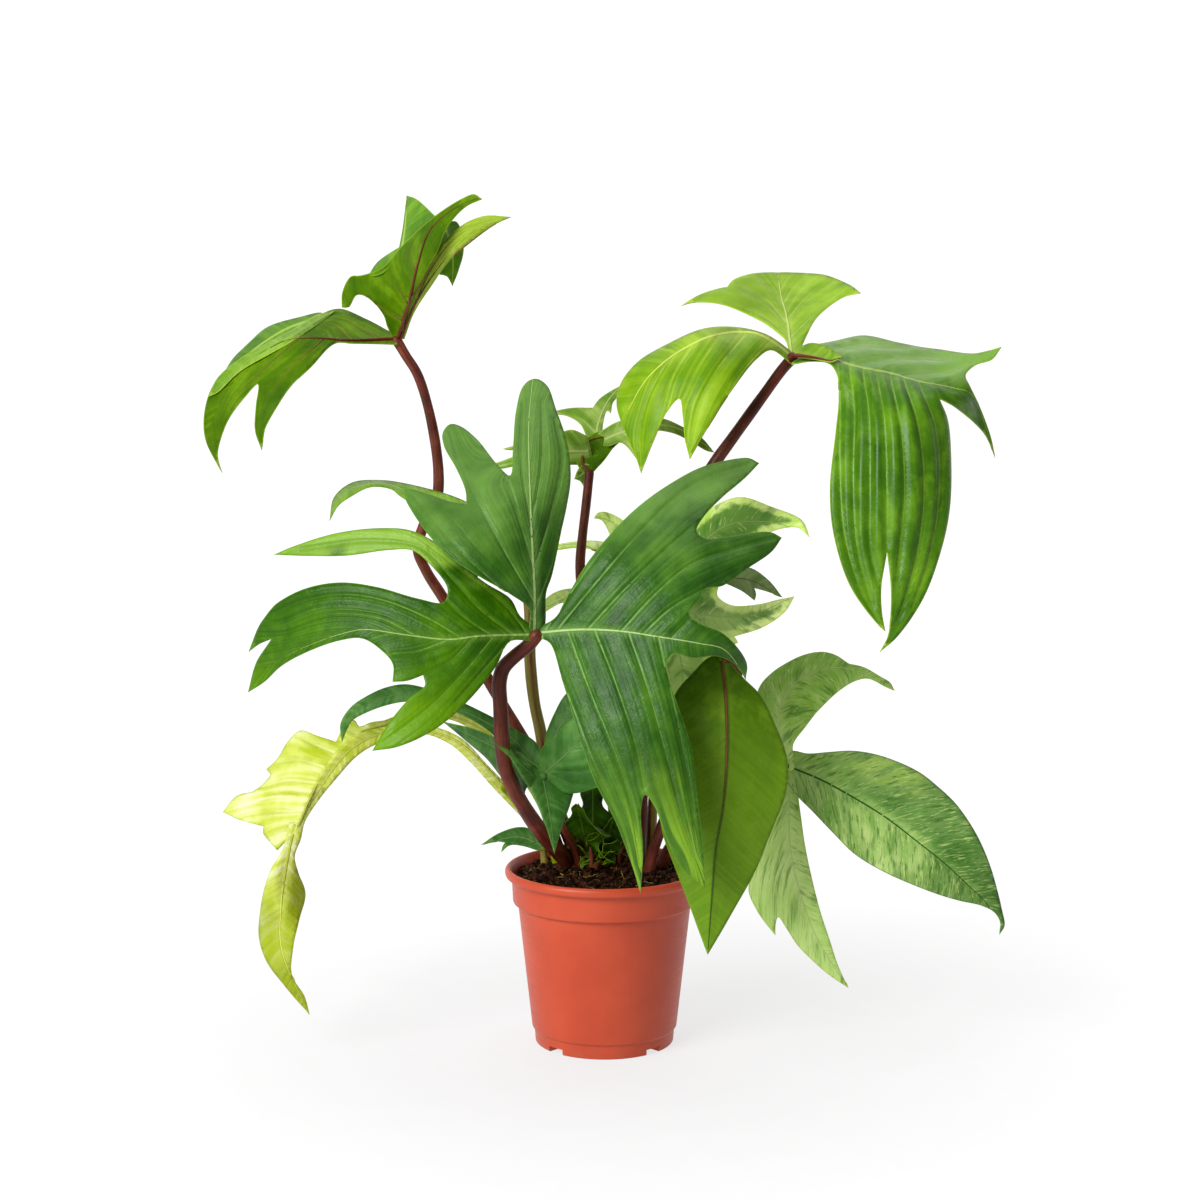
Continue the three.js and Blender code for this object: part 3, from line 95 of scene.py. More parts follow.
# The leaves as seen from the front, in mm. A lobe's "edge" is made of smooth strokes of
# [x, z] points from corner to corner, "rib" and "veins" are lines on it, and "lie" gives its
# depth at some places, as [x, z, y]. Where "under" is set its underside faces the viewer.
# "paint" picks a pair of the leaf's paints, "shows" says how much of the rib stands out, and
# "lift" brings the lobe nearer. A leaf's "knob" is where its lobes meet, over its stalk,
# whose "path" is made of [x, y, z] points.

# Front leaf

FRONT_LEFT = {
    "edge": [
        [[-50.5, 259], [-56, 269], [-71, 279], [-86, 291], [-99, 302], [-116, 310.4], [-135, 311.7],
            [-160, 308.5], [-184, 300.8], [-196.5, 295.6]],
        [[-175.5, 294.9], [-153.5, 295.3], [-129, 298.6], [-114.4, 298.2], [-103.5, 289.5], [-93.5, 275.5],
            [-96, 267.3], [-111, 269.4], [-135.4, 276.5], [-157.4, 279.2], [-178.2, 275.3], [-195.4, 266.6],
            [-200.5, 261.5]],
        [[-206.5, 253], [-212.6, 237.4]],
        [[-206.5, 242], [-199.3, 245.1]],
        [[-208.2, 231], [-213.4, 213]],
        [[-203.5, 219.3], [-193.7, 228.6], [-179, 236.8], [-158, 244.3], [-144.6, 245.5], [-133.5, 238.6],
            [-126.5, 230], [-126.7, 219.3]],
        [[-118, 219.8], [-108.5, 223.3]],
        [[-107.5, 217], [-117, 209], [-129, 194.5], [-139.5, 177.5]],
        [[-123.6, 180], [-101, 191], [-80.5, 209], [-65, 228.5], [-57, 243.5], [-42, 244]],
        [[-41, 252]],
    ],
    "rib": [[-42, 248], [-75, 247], [-93, 245], [-120, 248], [-143, 251], [-155, 249], [-180, 240],
        [-205, 227]],
    "veins": [
        [[-47, 250], [-60, 266], [-80, 282], [-104, 300]],
        [[-56, 249], [-74, 263], [-92, 283], [-110, 300], [-140, 304], [-180, 299]],
        [[-68, 248], [-82, 257], [-94, 268]],
        [[-86, 246], [-104, 257], [-130, 268], [-155, 272], [-180, 268], [-196, 261]],
        [[-112, 247], [-135, 258], [-165, 260], [-190, 252]],
        [[-54, 247], [-68, 231], [-88, 208]],
        [[-66, 247], [-84, 225], [-106, 203], [-135, 181]],
        [[-78, 246.5], [-92, 232], [-108, 224]],
        [[-93, 245], [-100, 242], [-113, 237.5], [-127, 236]],
    ],
    "lie": [[-42, 248, -79], [-75, 247, -95], [-110, 243, -99], [-155, 249, -86], [-105, 290, -83],
        [-60, 272, -78], [-196, 296, -49], [-150, 303, -68], [-213, 237, -47], [-213, 213, -52],
        [-180, 258, -70], [-127, 219, -109], [-105, 205, -114], [-139, 178, -120], [-70, 232, -96]],
    "paint": 1, "shows": 0.75, "rib_radius": 0.9,
}
FRONT_UPPER = {
    "edge": [
        [[-36, 252], [-34.5, 273], [-31.4, 282.5], [-26.8, 305.9], [-22.2, 324.5], [-20, 341], [-22.8, 364],
            [-28.6, 382.4], [-34, 396], [-41.5, 400], [-48, 395.5], [-52.3, 381], [-54.2, 358],
            [-56, 342.8], [-63.7, 349.4], [-74.7, 363.4], [-84.5, 371.6], [-91, 373.2], [-95.5, 368],
            [-94.8, 360], [-87.5, 346.4], [-82.5, 334], [-82, 326.3]],
        [[-90.6, 327.4], [-105, 332.3], [-120.8, 336.5]],
        [[-117.3, 327], [-104.2, 307], [-90.8, 293.3], [-73.8, 282.2], [-55.6, 271.7], [-45, 263],
            [-45, 252]],
        [[-41, 246]],
    ],
    "rib": [[-41.7, 248], [-41.3, 271], [-43.5, 320], [-44.6, 375], [-42.3, 399]],
    "veins": [
        [[-42, 256], [-62, 276], [-86, 298], [-108, 325], [-118, 335]],
        [[-42, 268], [-62, 303], [-80, 338], [-91, 369]],
        [[-42.5, 290], [-52, 322], [-58, 340]],
        [[-43.5, 315], [-49, 350], [-48, 385]],
        [[-41.5, 262], [-32, 288], [-26, 312]],
        [[-42, 285], [-31, 322], [-25, 352], [-29, 376]],
        [[-43, 312], [-37, 350], [-37, 386]],
    ],
    "lie": [[-41, 248, -79], [-41, 275, -90], [-43, 320, -78], [-44, 360, -55], [-41.5, 400, -16],
        [-70, 340, -70], [-92, 372, -34], [-85, 315, -86], [-120, 336, -57], [-56, 272, -96],
        [-90, 294, -99], [-31, 290, -78], [-21, 345, -52]],
}
FRONT_TERMINAL = {
    "edge": [
        [[-29.2, 258.5], [-22.2, 270.7], [-11.7, 288.3], [2.3, 306.4], [18.6, 323.3], [37.2, 337.2],
            [55.8, 347], [73.3, 351.7], [85, 353.2], [91.5, 350.2]],
        [[83.7, 341.9], [69.8, 329.7], [58.8, 318], [54.5, 309.5], [59.4, 305.2], [71, 306], [87.5, 309],
            [99, 309.3], [105.4, 306]],
        [[99.4, 297.6], [84.3, 287], [70.4, 277.2], [59.5, 274.8], [56.4, 268.8], [50.2, 260.5],
            [56.4, 254.8], [69.3, 249.5], [78.7, 241.2], [85.1, 230.5], [84.7, 220.6]],
        [[78.9, 229.2], [67.3, 234.7], [52, 233.8], [41, 236.3], [37, 231], [38.8, 219.8], [45.3, 201],
            [51.9, 180], [56.3, 145.6], [59.5, 118], [60.8, 94]],
        [[52, 100.4], [43.4, 110.4], [35.5, 129], [30.6, 142.6], [24.5, 150.6], [22, 140.8], [23.4, 117],
            [21.8, 90.3]],
        [[16.6, 107.5], [7.2, 132.5], [-5.6, 158.6], [-16, 189.4], [-25.5, 221], [-33, 243], [-40, 246]],
        [[-40, 252]],
    ],
    "rib": [[-41.5, 249], [-14, 251], [9.4, 250], [33, 246.5], [56.4, 242.6], [71.6, 238.8], [84.2, 223]],
    "veins": [
        [[-36, 249.5], [-22, 270], [0, 300], [22, 324]],
        [[-29, 250], [-6, 278], [22, 310], [52, 337], [86, 350]],
        [[-10, 251], [12, 275], [38, 300], [52, 312]],
        [[10, 250], [30, 272], [52, 290], [80, 300], [102, 306]],
        [[23, 248.5], [40, 264], [56, 273], [80, 286]],
        [[40, 246], [47, 253], [51, 258]],
        [[-38, 248], [-22, 212], [-6, 170], [12, 130], [21, 94]],
        [[-22, 250], [-8, 212], [8, 172], [17, 142], [22, 108]],
        [[-6, 251], [8, 215], [19, 180], [24, 155]],
        [[14, 250], [26, 215], [38, 172], [48, 132], [60, 97]],
        [[32, 247], [37, 225], [45, 190], [52, 152], [58, 115]],
    ],
    "lie": [[-41, 249, -79], [-10, 251, -92], [23, 248.5, -104], [52, 243, -109], [75, 237, -104],
        [84.7, 221, -91], [5, 290, -86], [40, 325, -60], [91, 350, -26], [55, 290, -88], [105, 306, -60],
        [54, 309, -75], [52, 260, -104], [-15, 200, -109], [10, 140, -125], [22, 91, -127], [40, 195, -120],
        [46, 140, -131], [60.8, 94, -135]],
}
FRONT = {
    "knob": {"x": -41, "y": -79, "z": 248, "radius": 5},
    "lobes": [FRONT_LEFT, FRONT_UPPER, FRONT_TERMINAL],
    "path": [[-22.3, 4.5, STEM_FOOT], [-22.3, 3.5, 104], [-23, -4, 110], [-29.5, -17, 118],
        [-37.9, -30, 127.5], [-47.7, -42, 142], [-55, -52, 155.5], [-60.4, -60, 170.5], [-61.5, -64, 184],
        [-62.3, -66, 205], [-62.9, -69, 219], [-60.5, -70, 227.6], [-53.4, -73, 235], [-46, -75, 241],
        [-41, -79, 247]],
    "radii": [5, 4],
}


# Upper left leaf

# Left, from its upper edge down to two hanging fingers.
UPPER_LEFT_LEFT = {
    "edge": [
        [[-127.5, 428], [-140.5, 434.5], [-156, 441], [-168.5, 437], [-183, 428.5], [-198, 420.5],
            [-213, 412], [-228, 400], [-235, 384], [-235.8, 364], [-226, 344]],
        [[-228.3, 356], [-224, 371], [-213, 388], [-204.5, 396.8], [-205.8, 384], [-206, 368],
            [-203, 357.5]],
        [[-199.5, 372], [-188.5, 390.5], [-173, 406.5], [-159, 420], [-148, 420], [-122, 419.5]],
        [[-119.5, 425]],
    ],
    "rib": [[-122, 422.4], [-150, 421.6], [-175, 423], [-190, 420.5], [-212, 404], [-228, 382], [-230, 362],
        [-226.5, 347]],
    "veins": [
        [[-130, 422.5], [-140, 427], [-152, 434], [-163, 435], [-174, 431]],
        [[-150, 422], [-160, 431], [-170, 431], [-178, 427.5]],
        [[-165, 422.5], [-185, 405], [-200, 385], [-203.5, 361]],
        [[-180, 422], [-200, 405], [-218, 388], [-228, 366]],
    ],
    "lie": [[-122, 422, 9], [-150, 421.5, -8], [-184, 423.5, -18], [-156, 441, 31], [-138, 433, 25],
        [-168.5, 437, 18], [-198, 420.5, -5], [-213, 412, -10], [-228, 400, -13], [-225, 382, -31],
        [-226, 344, -26], [-190, 398, -42], [-203, 357.5, -47], [-160, 420, -18]],
    "under": True, "shows": 0.44, "rib_radius": 0.9,
}
# The left lobe's crest, curled over so that its upper side shows.
UPPER_LEFT_CREST = {
    "edge": [
        [[-168.5, 437.3], [-183, 429], [-198, 421], [-213, 412.5], [-228, 400.5], [-234, 389]],
        [[-228, 392], [-216, 403], [-199, 413], [-184, 421.5], [-170, 430.5]],
        [[-158, 439.5]],
    ],
    "rib": [[-162, 438], [-183, 425.5], [-198, 417.5], [-214, 408], [-230, 393]],
    "lie": UPPER_LEFT_LEFT["lie"],
    "paint": 2, "lift": 2.2,
}
# The far fingers behind the left lobe's crest.
UPPER_LEFT_FAR_FINGERS = {
    "edge": [
        [[-166, 438.5], [-179, 436], [-198, 429.7], [-210, 420]],
        [[-219, 411.5], [-228, 397]],
        [[-213, 408.5], [-198, 417], [-183, 425.5], [-168, 434.5]],
        [[-163, 436]],
    ],
    "rib": [[-165, 436], [-185, 430], [-205, 418], [-226, 400]],
    "lie": [[-166, 436, 21], [-183, 427, 5], [-198, 419, -4], [-213, 410, -9], [-228, 398, -12],
        [-185, 435, 42], [-207, 422, 26]],
}
# Right, rising, seen from below.
UPPER_LEFT_RIGHT = {
    "edge": [
        [[-127.5, 430], [-129.5, 437], [-138, 447], [-145, 448.5], [-150, 441.5], [-154, 441.5]],
        [[-153.5, 450], [-148.5, 459.5], [-143, 460], [-130.8, 464.5], [-118, 478], [-101.5, 492.5],
            [-84, 504], [-76, 507], [-71.3, 504]],
        [[-81, 499.5], [-90.5, 489.5], [-99, 471.5], [-109.5, 452.5], [-117, 437], [-118.5, 424]],
        [[-122, 420]],
    ],
    "rib": [[-121, 424], [-114.5, 443.5], [-108, 469], [-101, 487], [-85, 500], [-74, 504.5]],
    "veins": [
        [[-118, 434], [-128, 440], [-144, 451]],
        [[-115, 444], [-122, 455], [-128, 462]],
        [[-110, 462], [-113, 474], [-108, 484]],
        [[-113, 447], [-100, 470], [-86, 493]],
    ],
    "lie": [[-121, 423, 9], [-114.5, 443.5, -16], [-108, 469, -42], [-101, 487, -60], [-71, 504, -81],
        [-128, 450, -8], [-154, 442, 16], [-143, 460, 8], [-120, 476, -23]],
    "under": True, "shows": 0.8,
}
# The long light finger at the right.
UPPER_LEFT_LONG_FINGER = {
    "edge": [
        [[-116.5, 441], [-107, 462], [-98.5, 474], [-83.5, 489], [-70.5, 494.3], [-54, 494]],
        [[-63, 490], [-75.5, 481.5], [-90, 469.3], [-101.5, 453.8], [-111.5, 438.5], [-117.5, 423]],
        [[-121, 424]],
    ],
    "rib": [[-119, 424], [-112.5, 440], [-104.5, 454], [-90, 473], [-74, 487], [-55, 493.7]],
    "veins": [
        [[-112, 441], [-100, 466], [-84, 484], [-60, 493.5]],
        [[-110, 443], [-98, 459], [-80, 478], [-62, 491]],
    ],
    "lie": [[-119, 424, 8], [-112, 440, -9], [-105, 455, -26], [-90, 475, -55], [-97, 474, -47],
        [-54, 494, -86]],
    "under": True, "paint": 1, "shows": 0.45, "pleat": 1.2,
}
# Far finger, upright.
UPPER_LEFT_UPRIGHT_FINGER = {
    "edge": [
        [[-133, 468], [-120.5, 476.5]],
        [[-118.5, 486.5], [-115.8, 506.3]],
        [[-109.5, 504], [-98, 493.5]],
        [[-101, 489], [-118, 474.5], [-131, 461], [-139, 459.5]],
    ],
    "rib": [[-120, 470], [-117, 488], [-115.8, 505]],
    "lie": [[-139, 460, 5], [-131, 462.5, -5], [-118, 476, -22], [-101, 490, -57], [-116, 506, 16],
        [-109, 497, -18], [-133, 468, 10]],
}
# Far finger, hanging.
UPPER_LEFT_HANGING_FINGER = {
    "edge": [
        [[-86.5, 491], [-82.5, 476], [-85.5, 463], [-89, 453.5]],
        [[-92.5, 459.5], [-98, 461.5], [-99, 472], [-97, 482], [-95, 489]],
    ],
    "rib": [[-93, 488], [-89, 472], [-89, 455]],
    "lie": [[-94, 488, -65], [-88, 489, -57], [-84, 476, -31], [-97, 475, -35], [-89, 453.5, -10]],
}
UPPER_LEFT = {
    "knob": {"x": -122, "y": 9, "z": 423, "radius": 3.8},
    "lobes": [UPPER_LEFT_LEFT, UPPER_LEFT_CREST, UPPER_LEFT_FAR_FINGERS, UPPER_LEFT_RIGHT,
        UPPER_LEFT_LONG_FINGER, UPPER_LEFT_UPRIGHT_FINGER, UPPER_LEFT_HANGING_FINGER],
    "path": [[-14.5, 13.5, STEM_FOOT], [-15.5, 13.5, 106], [-24, 16, 131], [-38, 18, 166], [-51.8, 20, 190],
        [-68.5, 21, 218.7], [-95, 22, 268], [-106, 22, 286], [-111, 22, 299], [-107, 21, 314],
        [-99.5, 20, 329], [-98.3, 18, 345], [-102.5, 16, 376], [-110, 13, 402], [-117, 10, 413.5],
        [-122, 9, 422]],
    "radii": [4, 2.9],
}


# Upper right leaf

# Upper, leaning back.
UPPER_RIGHT_UPPER = {
    "edge": [
        [[107, 421], [100.4, 427], [89.5, 434.4], [69, 443.3], [51.8, 444.5], [44.4, 442.5]],
        [[55, 449], [67.5, 453], [72, 453.8]],
        [[75, 457.5], [86.3, 461.4], [100.5, 462], [120.9, 461.6], [131, 460.2], [144.4, 454.2],
            [150.4, 449.5]],
        [[141, 447.5], [133.5, 443], [124.2, 434.4], [117.2, 421], [113, 411]],
        [[108, 411]],
    ],
    "rib": [[110, 413], [107, 436], [103.6, 448.4], [101.5, 461]],
    "veins": [
        [[108.5, 424], [90, 438], [60, 446], [48, 443.5]],
        [[107.5, 432], [95, 446], [78, 456]],
        [[106, 441], [98, 452], [90, 460.5]],
        [[109, 424], [122, 436], [140, 449]],
        [[107, 434], [118, 447], [134, 457.5]],
        [[105, 444], [112, 455], [118, 461]],
    ],
    "lie": [[110.5, 412, 20], [107, 436, 68], [101, 461, 122], [44, 443, 68], [150, 450, 83], [72, 448, 75],
        [132, 455, 104]],
    "paint": 2,
}
# Left, with two hanging fingers.
UPPER_RIGHT_LEFT = {
    "edge": [
        [[102, 422], [94.2, 426.5], [80.1, 429.9], [59.7, 429.2], [39.2, 421.6], [20.4, 410.6], [9.4, 396],
            [7.2, 384], [12, 369], [18.3, 354.3], [21.8, 344]],
        [[28.6, 362], [36.5, 379.3], [44, 388], [46.3, 377], [47.6, 363.7], [50.5, 352.2]],
        [[60.3, 369.8], [74.4, 392], [90, 411.7], [98, 416.5], [110, 408]],
        [[112, 414]],
    ],
    "rib": [[110, 413], [103, 419], [88, 427], [62.8, 425], [47, 418], [34.5, 409.4], [23.6, 398.4],
        [14, 382]],
    "veins": [
        [[98, 422.5], [82, 405], [67, 381], [53, 357]],
        [[84, 427], [66, 405], [55, 384], [50.5, 360]],
        [[68, 426], [54, 404], [46, 387]],
        [[52, 420], [40, 400], [34, 378], [24, 350]],
        [[38, 412], [27, 392], [21, 370], [21.5, 349]],
    ],
    "lie": [[110, 412, 20], [88, 425, 10], [63, 424, -3], [35, 409, -10], [23, 398, -13], [21.8, 344, -26],
        [50.5, 352, -44], [75, 392, -29], [80, 430, 29], [40, 422, 13], [9, 396, 0], [44, 388, -26]],
}
# Right: a short half leaning back, a finger behind it and the hanging half.
UPPER_RIGHT_RIGHT = {
    "edge": [
        [[118, 418.8], [135.2, 421.9], [152.4, 424.7], [172.8, 421.4], [195, 417], [215.5, 414.4],
            [226, 416.3], [233.5, 418.4]],
        [[228, 411], [218, 407.5], [212.5, 401.5], [215, 396.1], [220.9, 384.2], [228, 366], [231, 353]],
        [[224, 367.5], [207, 382.5], [197.3, 387.5]],
        [[202.5, 374.7], [205.2, 346.2], [204.4, 320.6], [199.6, 296.9], [189.8, 269.4], [174.9, 246.8],
            [164, 237]],
        [[168.9, 247], [170.4, 262], [170.2, 277.4], [167.8, 296.8]],
        [[164.8, 276], [165.3, 262], [167.6, 249.5]],
        [[160.6, 256.5], [145.9, 277.4], [135.9, 308], [133.5, 335], [136.5, 368], [138.2, 388],
            [136.8, 402], [132, 408.5], [122, 410], [110, 408]],
        [[109, 415]],
    ],
    "rib": [[111, 412], [133.6, 412.5], [141.5, 409.4], [154.3, 406.2], [170.2, 403], [186.2, 398.4],
        [202, 395.5], [213, 393]],
    "veins": [
        [[137, 411], [139, 390], [139, 350], [142, 310], [152, 276], [165, 252]],
        [[144, 409], [147, 380], [147, 340], [150, 300], [160, 264]],
        [[152, 407], [156, 375], [157, 335], [158, 300], [163, 278]],
        [[160, 405], [165, 375], [167, 335], [167.5, 300]],
        [[168, 403], [175, 372], [178, 335], [176, 300], [170, 252]],
        [[176, 401], [186, 372], [190, 335], [187, 300], [177, 262], [166, 239]],
        [[185, 399], [196, 372], [199, 335], [195, 300], [184, 264]],
        [[120, 412.5], [150, 420], [178, 418.5]],
        [[148, 408], [178, 413], [208, 412]],
        [[175, 402], [202, 405], [231, 417]],
        [[204, 395], [216, 391], [224, 374], [230.3, 355]],
    ],
    "lie": [[111, 412, 20], [135, 412, 5], [154, 406, -8], [186, 398.4, -16], [213, 393, -10],
        [152, 424.7, 52], [195, 417, 47], [133, 421.5, 42], [233, 418, 16], [137, 388, -16],
        [150, 360, -39], [135, 330, -44], [150, 290, -57], [168, 249, -65], [164, 237, -65],
        [190, 360, -44], [204, 335, -39], [199, 297, -49], [231, 353, 10], [221, 384, 3]],
    "paint": 1, "pleat": 2.8, "spacing": 1.8,
}
# The right lobe's near edge, curled over beside the knob.
UPPER_RIGHT_CURL = {
    "edge": [
        [[121, 420.5], [131.5, 418], [140, 412.5]],
        [[134, 409], [124, 410.5], [112, 412]],
        [[112, 417]],
    ],
    "rib": [[112, 412.8], [124, 411.4], [134, 410], [138, 411.5]],
    "lie": [[112, 412, 15], [121, 420, 20], [131, 418, 12], [140, 412, -4], [134, 409, -3], [124, 411, 5]],
    "under": True, "rib_radius": 1.2,
}
UPPER_RIGHT = {
    "knob": {"x": 110.5, "y": 20, "z": 412, "radius": 4.4},
    "lobes": [UPPER_RIGHT_UPPER, UPPER_RIGHT_LEFT, UPPER_RIGHT_RIGHT, UPPER_RIGHT_CURL],
    "path": [[20, 4, STEM_FOOT], [20.5, 4, 108], [22, 8, 150], [25, 10, 215], [33, 10, 280], [47, 8, 321],
        [63.6, 5, 348], [76, 6, 365.5], [95, 12, 392], [104, 16, 404.5], [110.5, 20, 412]],
    "radii": [4.2, 3.3],
}


# Back leaf

# Hood, seen from below.
BACK_HOOD = {
    "edge": [
        [[-13, 345], [-16.5, 350], [-15.5, 357.5], [-11, 364.5], [-4, 368.5], [4, 367.5], [10, 363.5]],
        [[5, 359], [0, 352], [-5, 346.5], [-9, 342]],
    ],
    "rib": [[-9, 344], [-13, 350], [-10, 362], [4, 366]],
    "lie": [[-9, 345, 16], [-14, 354, 21], [-5, 367, 29], [9, 363, 23]],
    "under": True, "paint": 1,
}
# Upper pair of fingers.
BACK_UPPER = {
    "edge": [
        [[-14, 372.5], [-20.9, 377.3], [-33, 380]],
        [[-19.7, 382.8], [-7, 383]],
        [[-3.5, 387.8], [1.5, 391.5], [11, 397]],
        [[7.5, 389], [5, 386], [3.8, 379.5]],
        [[1.5, 381], [-0.9, 373], [-1, 365]],
        [[-10, 363]],
    ],
    "rib": [[-6, 363], [-3, 376], [2, 387], [9, 395.5]],
    "veins": [
        [[-5, 368], [-14, 376], [-31, 380]],
    ],
    "lie": [[-8, 364, 27], [-12, 372, 34], [-33, 380, 47], [0, 388, 47], [10, 396, 55], [0, 372, 32]],
}
# Left, forked behind the front leaf's upper lobe.
BACK_LEFT = {
    "edge": [
        [[-18.7, 369.8], [-24, 369], [-36, 363], [-50, 361.3], [-61, 358.5]],
        [[-54, 357.6], [-49, 356]],
        [[-60, 351.8], [-75, 347]],
        [[-62, 346.6], [-46, 349.5], [-30, 349], [-16, 349]],
        [[-8, 352], [-10, 366]],
    ],
    "rib": [[-10, 357], [-30, 357], [-48, 358], [-60, 358.3]],
    "veins": [
        [[-24, 357], [-45, 353], [-73, 347.4]],
    ],
    "lie": [[-11, 355, 20], [-24, 361, 16], [-45, 356, 21], [-61, 358, 29], [-75, 347, 31]],
}
# Right, reaching to the upper right leaf's petiole.
BACK_RIGHT = {
    "edge": [
        [[4.6, 373], [9.8, 375], [22, 377], [34.6, 376.5], [46, 371.8], [57.7, 365], [65, 356.5]],
        [[60, 357.5], [50, 363.5], [39.2, 368.2], [28, 368.8], [22.5, 362], [20.5, 350.5]],
        [[10, 362], [2, 360], [-5, 362]],
        [[-5, 367]],
    ],
    "rib": [[-3, 363], [12, 369], [36, 372.5], [50, 367.5], [64, 357.5]],
    "veins": [
        [[10, 368.5], [17, 363], [20.4, 352.5]],
    ],
    "lie": [[-2, 363, 26], [10, 368, 20], [35, 372, 20], [65, 357, 23], [20.5, 350.5, 8]],
}
# Small drooping finger left of the petiole.
BACK_DROOPING = {
    "edge": [
        [[-15.5, 347], [-18, 340.5]],
        [[-14.5, 339.4], [-12, 335.5]],
        [[-9.5, 341], [-7, 348]],
        [[-11, 350]],
    ],
    "rib": [[-9, 349], [-13.5, 343], [-17, 341]],
    "lie": [[-9, 348, 18], [-18, 340, 22], [-12, 335.5, 25]],
}
BACK = {
    "knob": {"x": -9, "y": 16, "z": 345, "radius": 3.6},
    "lobes": [BACK_HOOD, BACK_UPPER, BACK_LEFT, BACK_RIGHT, BACK_DROOPING],
    "path": [[9, 10, STEM_FOOT], [9, 10, 106], [5, 12, 145], [-3, 8, 195], [-11, 6, 250], [-14.5, 8, 288],
        [-13, 10, 308], [-11, 13, 325], [-9, 16, 344]],
    "radii": [3.4, 2.8],
}


# Middle right leaf

MID_RIGHT_UPPER = {
    "edge": [
        [[36, 280], [43, 300], [52, 313], [64, 324], [80, 329.8], [98.9, 324.4], [117, 316.5], [122, 306]],
        [[114.6, 312], [102, 310.5], [84, 301], [62, 284], [40, 262]],
        [[32, 262]],
    ],
    "rib": [[36, 264], [50, 293], [72, 313], [100, 315], [121, 307.5]],
    "lie": [[36, 264, -43], [58, 295, -26], [75, 320, -10], [100, 318, -10], [122, 306, -18]],
}
# Right, dark, forked.
MID_RIGHT_DARK = {
    "edge": [
        [[60, 284], [84.4, 288.3], [97, 281], [106.4, 270.2]],
        [[98, 273.5], [89, 275.8]],
        [[90.2, 272], [89.3, 268.2]],
        [[79, 275.3], [66, 279], [42, 259]],
        [[34, 266]],
    ],
    "rib": [[37, 264], [62, 279], [85, 281], [105, 270.8]],
    "lie": [[37, 264, -42], [62, 279, -21], [88, 281, -3], [106, 270, 0]],
    "paint": 1,
}
MID_RIGHT_LIGHT = {
    "edge": [
        [[50, 274], [62, 280], [68, 277]],
        [[67.2, 271], [75, 265.4], [91.6, 266.2], [104, 269.2], [113, 271]],
        [[108.2, 262.4], [95.3, 253], [81.3, 247.7], [66, 244], [50, 248], [36, 258]],
        [[33, 267]],
    ],
    "rib": [[36, 264], [60, 260], [85, 259], [111, 270]],
    "lie": [[36, 264, -44], [60, 262, -47], [62, 279, -26], [85, 257, -49], [113, 271, -42]],
}
MID_RIGHT_LOWER = {
    "edge": [
        [[50, 250], [64, 248], [77, 247], [79.8, 243]],
        [[74, 240.5], [66, 236], [61, 222], [53, 206], [46, 192]],
        [[37, 208], [31, 228], [28, 248], [32, 262]],
        [[37, 264]],
    ],
    "rib": [[35, 260], [45, 235], [47, 196]],
    "veins": [
        [[38, 254], [58, 246], [78, 243.6]],
    ],
    "lie": [[35, 260, -46], [50, 230, -43], [46, 192, -34], [79, 244, -38], [31, 228, -39]],
}
# Upper left, with a hooked tip.
MID_RIGHT_HOOKED = {
    "edge": [
        [[36, 280], [28, 298], [11.6, 315.7], [0, 321.3], [-4.6, 320.4], [-6.4, 317.5]],
        [[-2, 316.5], [3.5, 307], [12, 288], [28, 262]],
        [[36, 262]],
    ],
    "rib": [[34, 265], [22, 296], [7, 314], [-5, 318.6]],
    "lie": [[34, 265, -43], [34, 285, -29], [14, 288, -26], [15, 310, -16], [-6, 318, -10]],
}
# Left, seen edge on, passing behind the back leaf's petiole.
MID_RIGHT_EDGE_ON = {
    "edge": [
        [[10, 297], [0, 303.2], [-14, 304.2], [-28, 302.3], [-44, 297.5]],
        [[-30, 298.4], [-16, 300], [-2, 297.5], [12, 281], [27, 260]],
        [[35, 265]],
    ],
    "rib": [[31, 262], [10, 288], [-14, 302], [-43, 298]],
    "lie": [[32, 264, -42], [10, 287, -10], [-14, 304, 35], [-14, 300, 25], [-44, 297.5, 34]],
}
# Lower left, passing in front of it.
MID_RIGHT_LOWER_LEFT = {
    "edge": [
        [[20, 270], [0, 272.5], [-20.4, 275.6], [-31, 272.5], [-36.5, 267], [-35.5, 261.2]],
        [[-31.5, 263.8], [-24, 267], [-8, 261], [14, 252], [34, 258]],
        [[36, 265]],
    ],
    "rib": [[33, 263], [10, 265], [-18, 271], [-34, 264.5]],
    "lie": [[33, 263, -44], [10, 262, -47], [-12, 268, -47], [-35, 262, -47]],
}
MID_RIGHT = {
    "knob": {"x": 35, "y": -43, "z": 264, "radius": 3.8},
    "lobes": [MID_RIGHT_UPPER, MID_RIGHT_DARK, MID_RIGHT_LIGHT, MID_RIGHT_LOWER, MID_RIGHT_HOOKED,
        MID_RIGHT_EDGE_ON, MID_RIGHT_LOWER_LEFT],
    "path": [[27, 17, STEM_FOOT], [27.5, 16, 108], [29.5, 10, 150], [36, -8, 200], [37, -23, 235],
        [35, -40, 262]],
    "radii": [3.2, 2.8], "green_knob": True,
}


# Lower right leaf

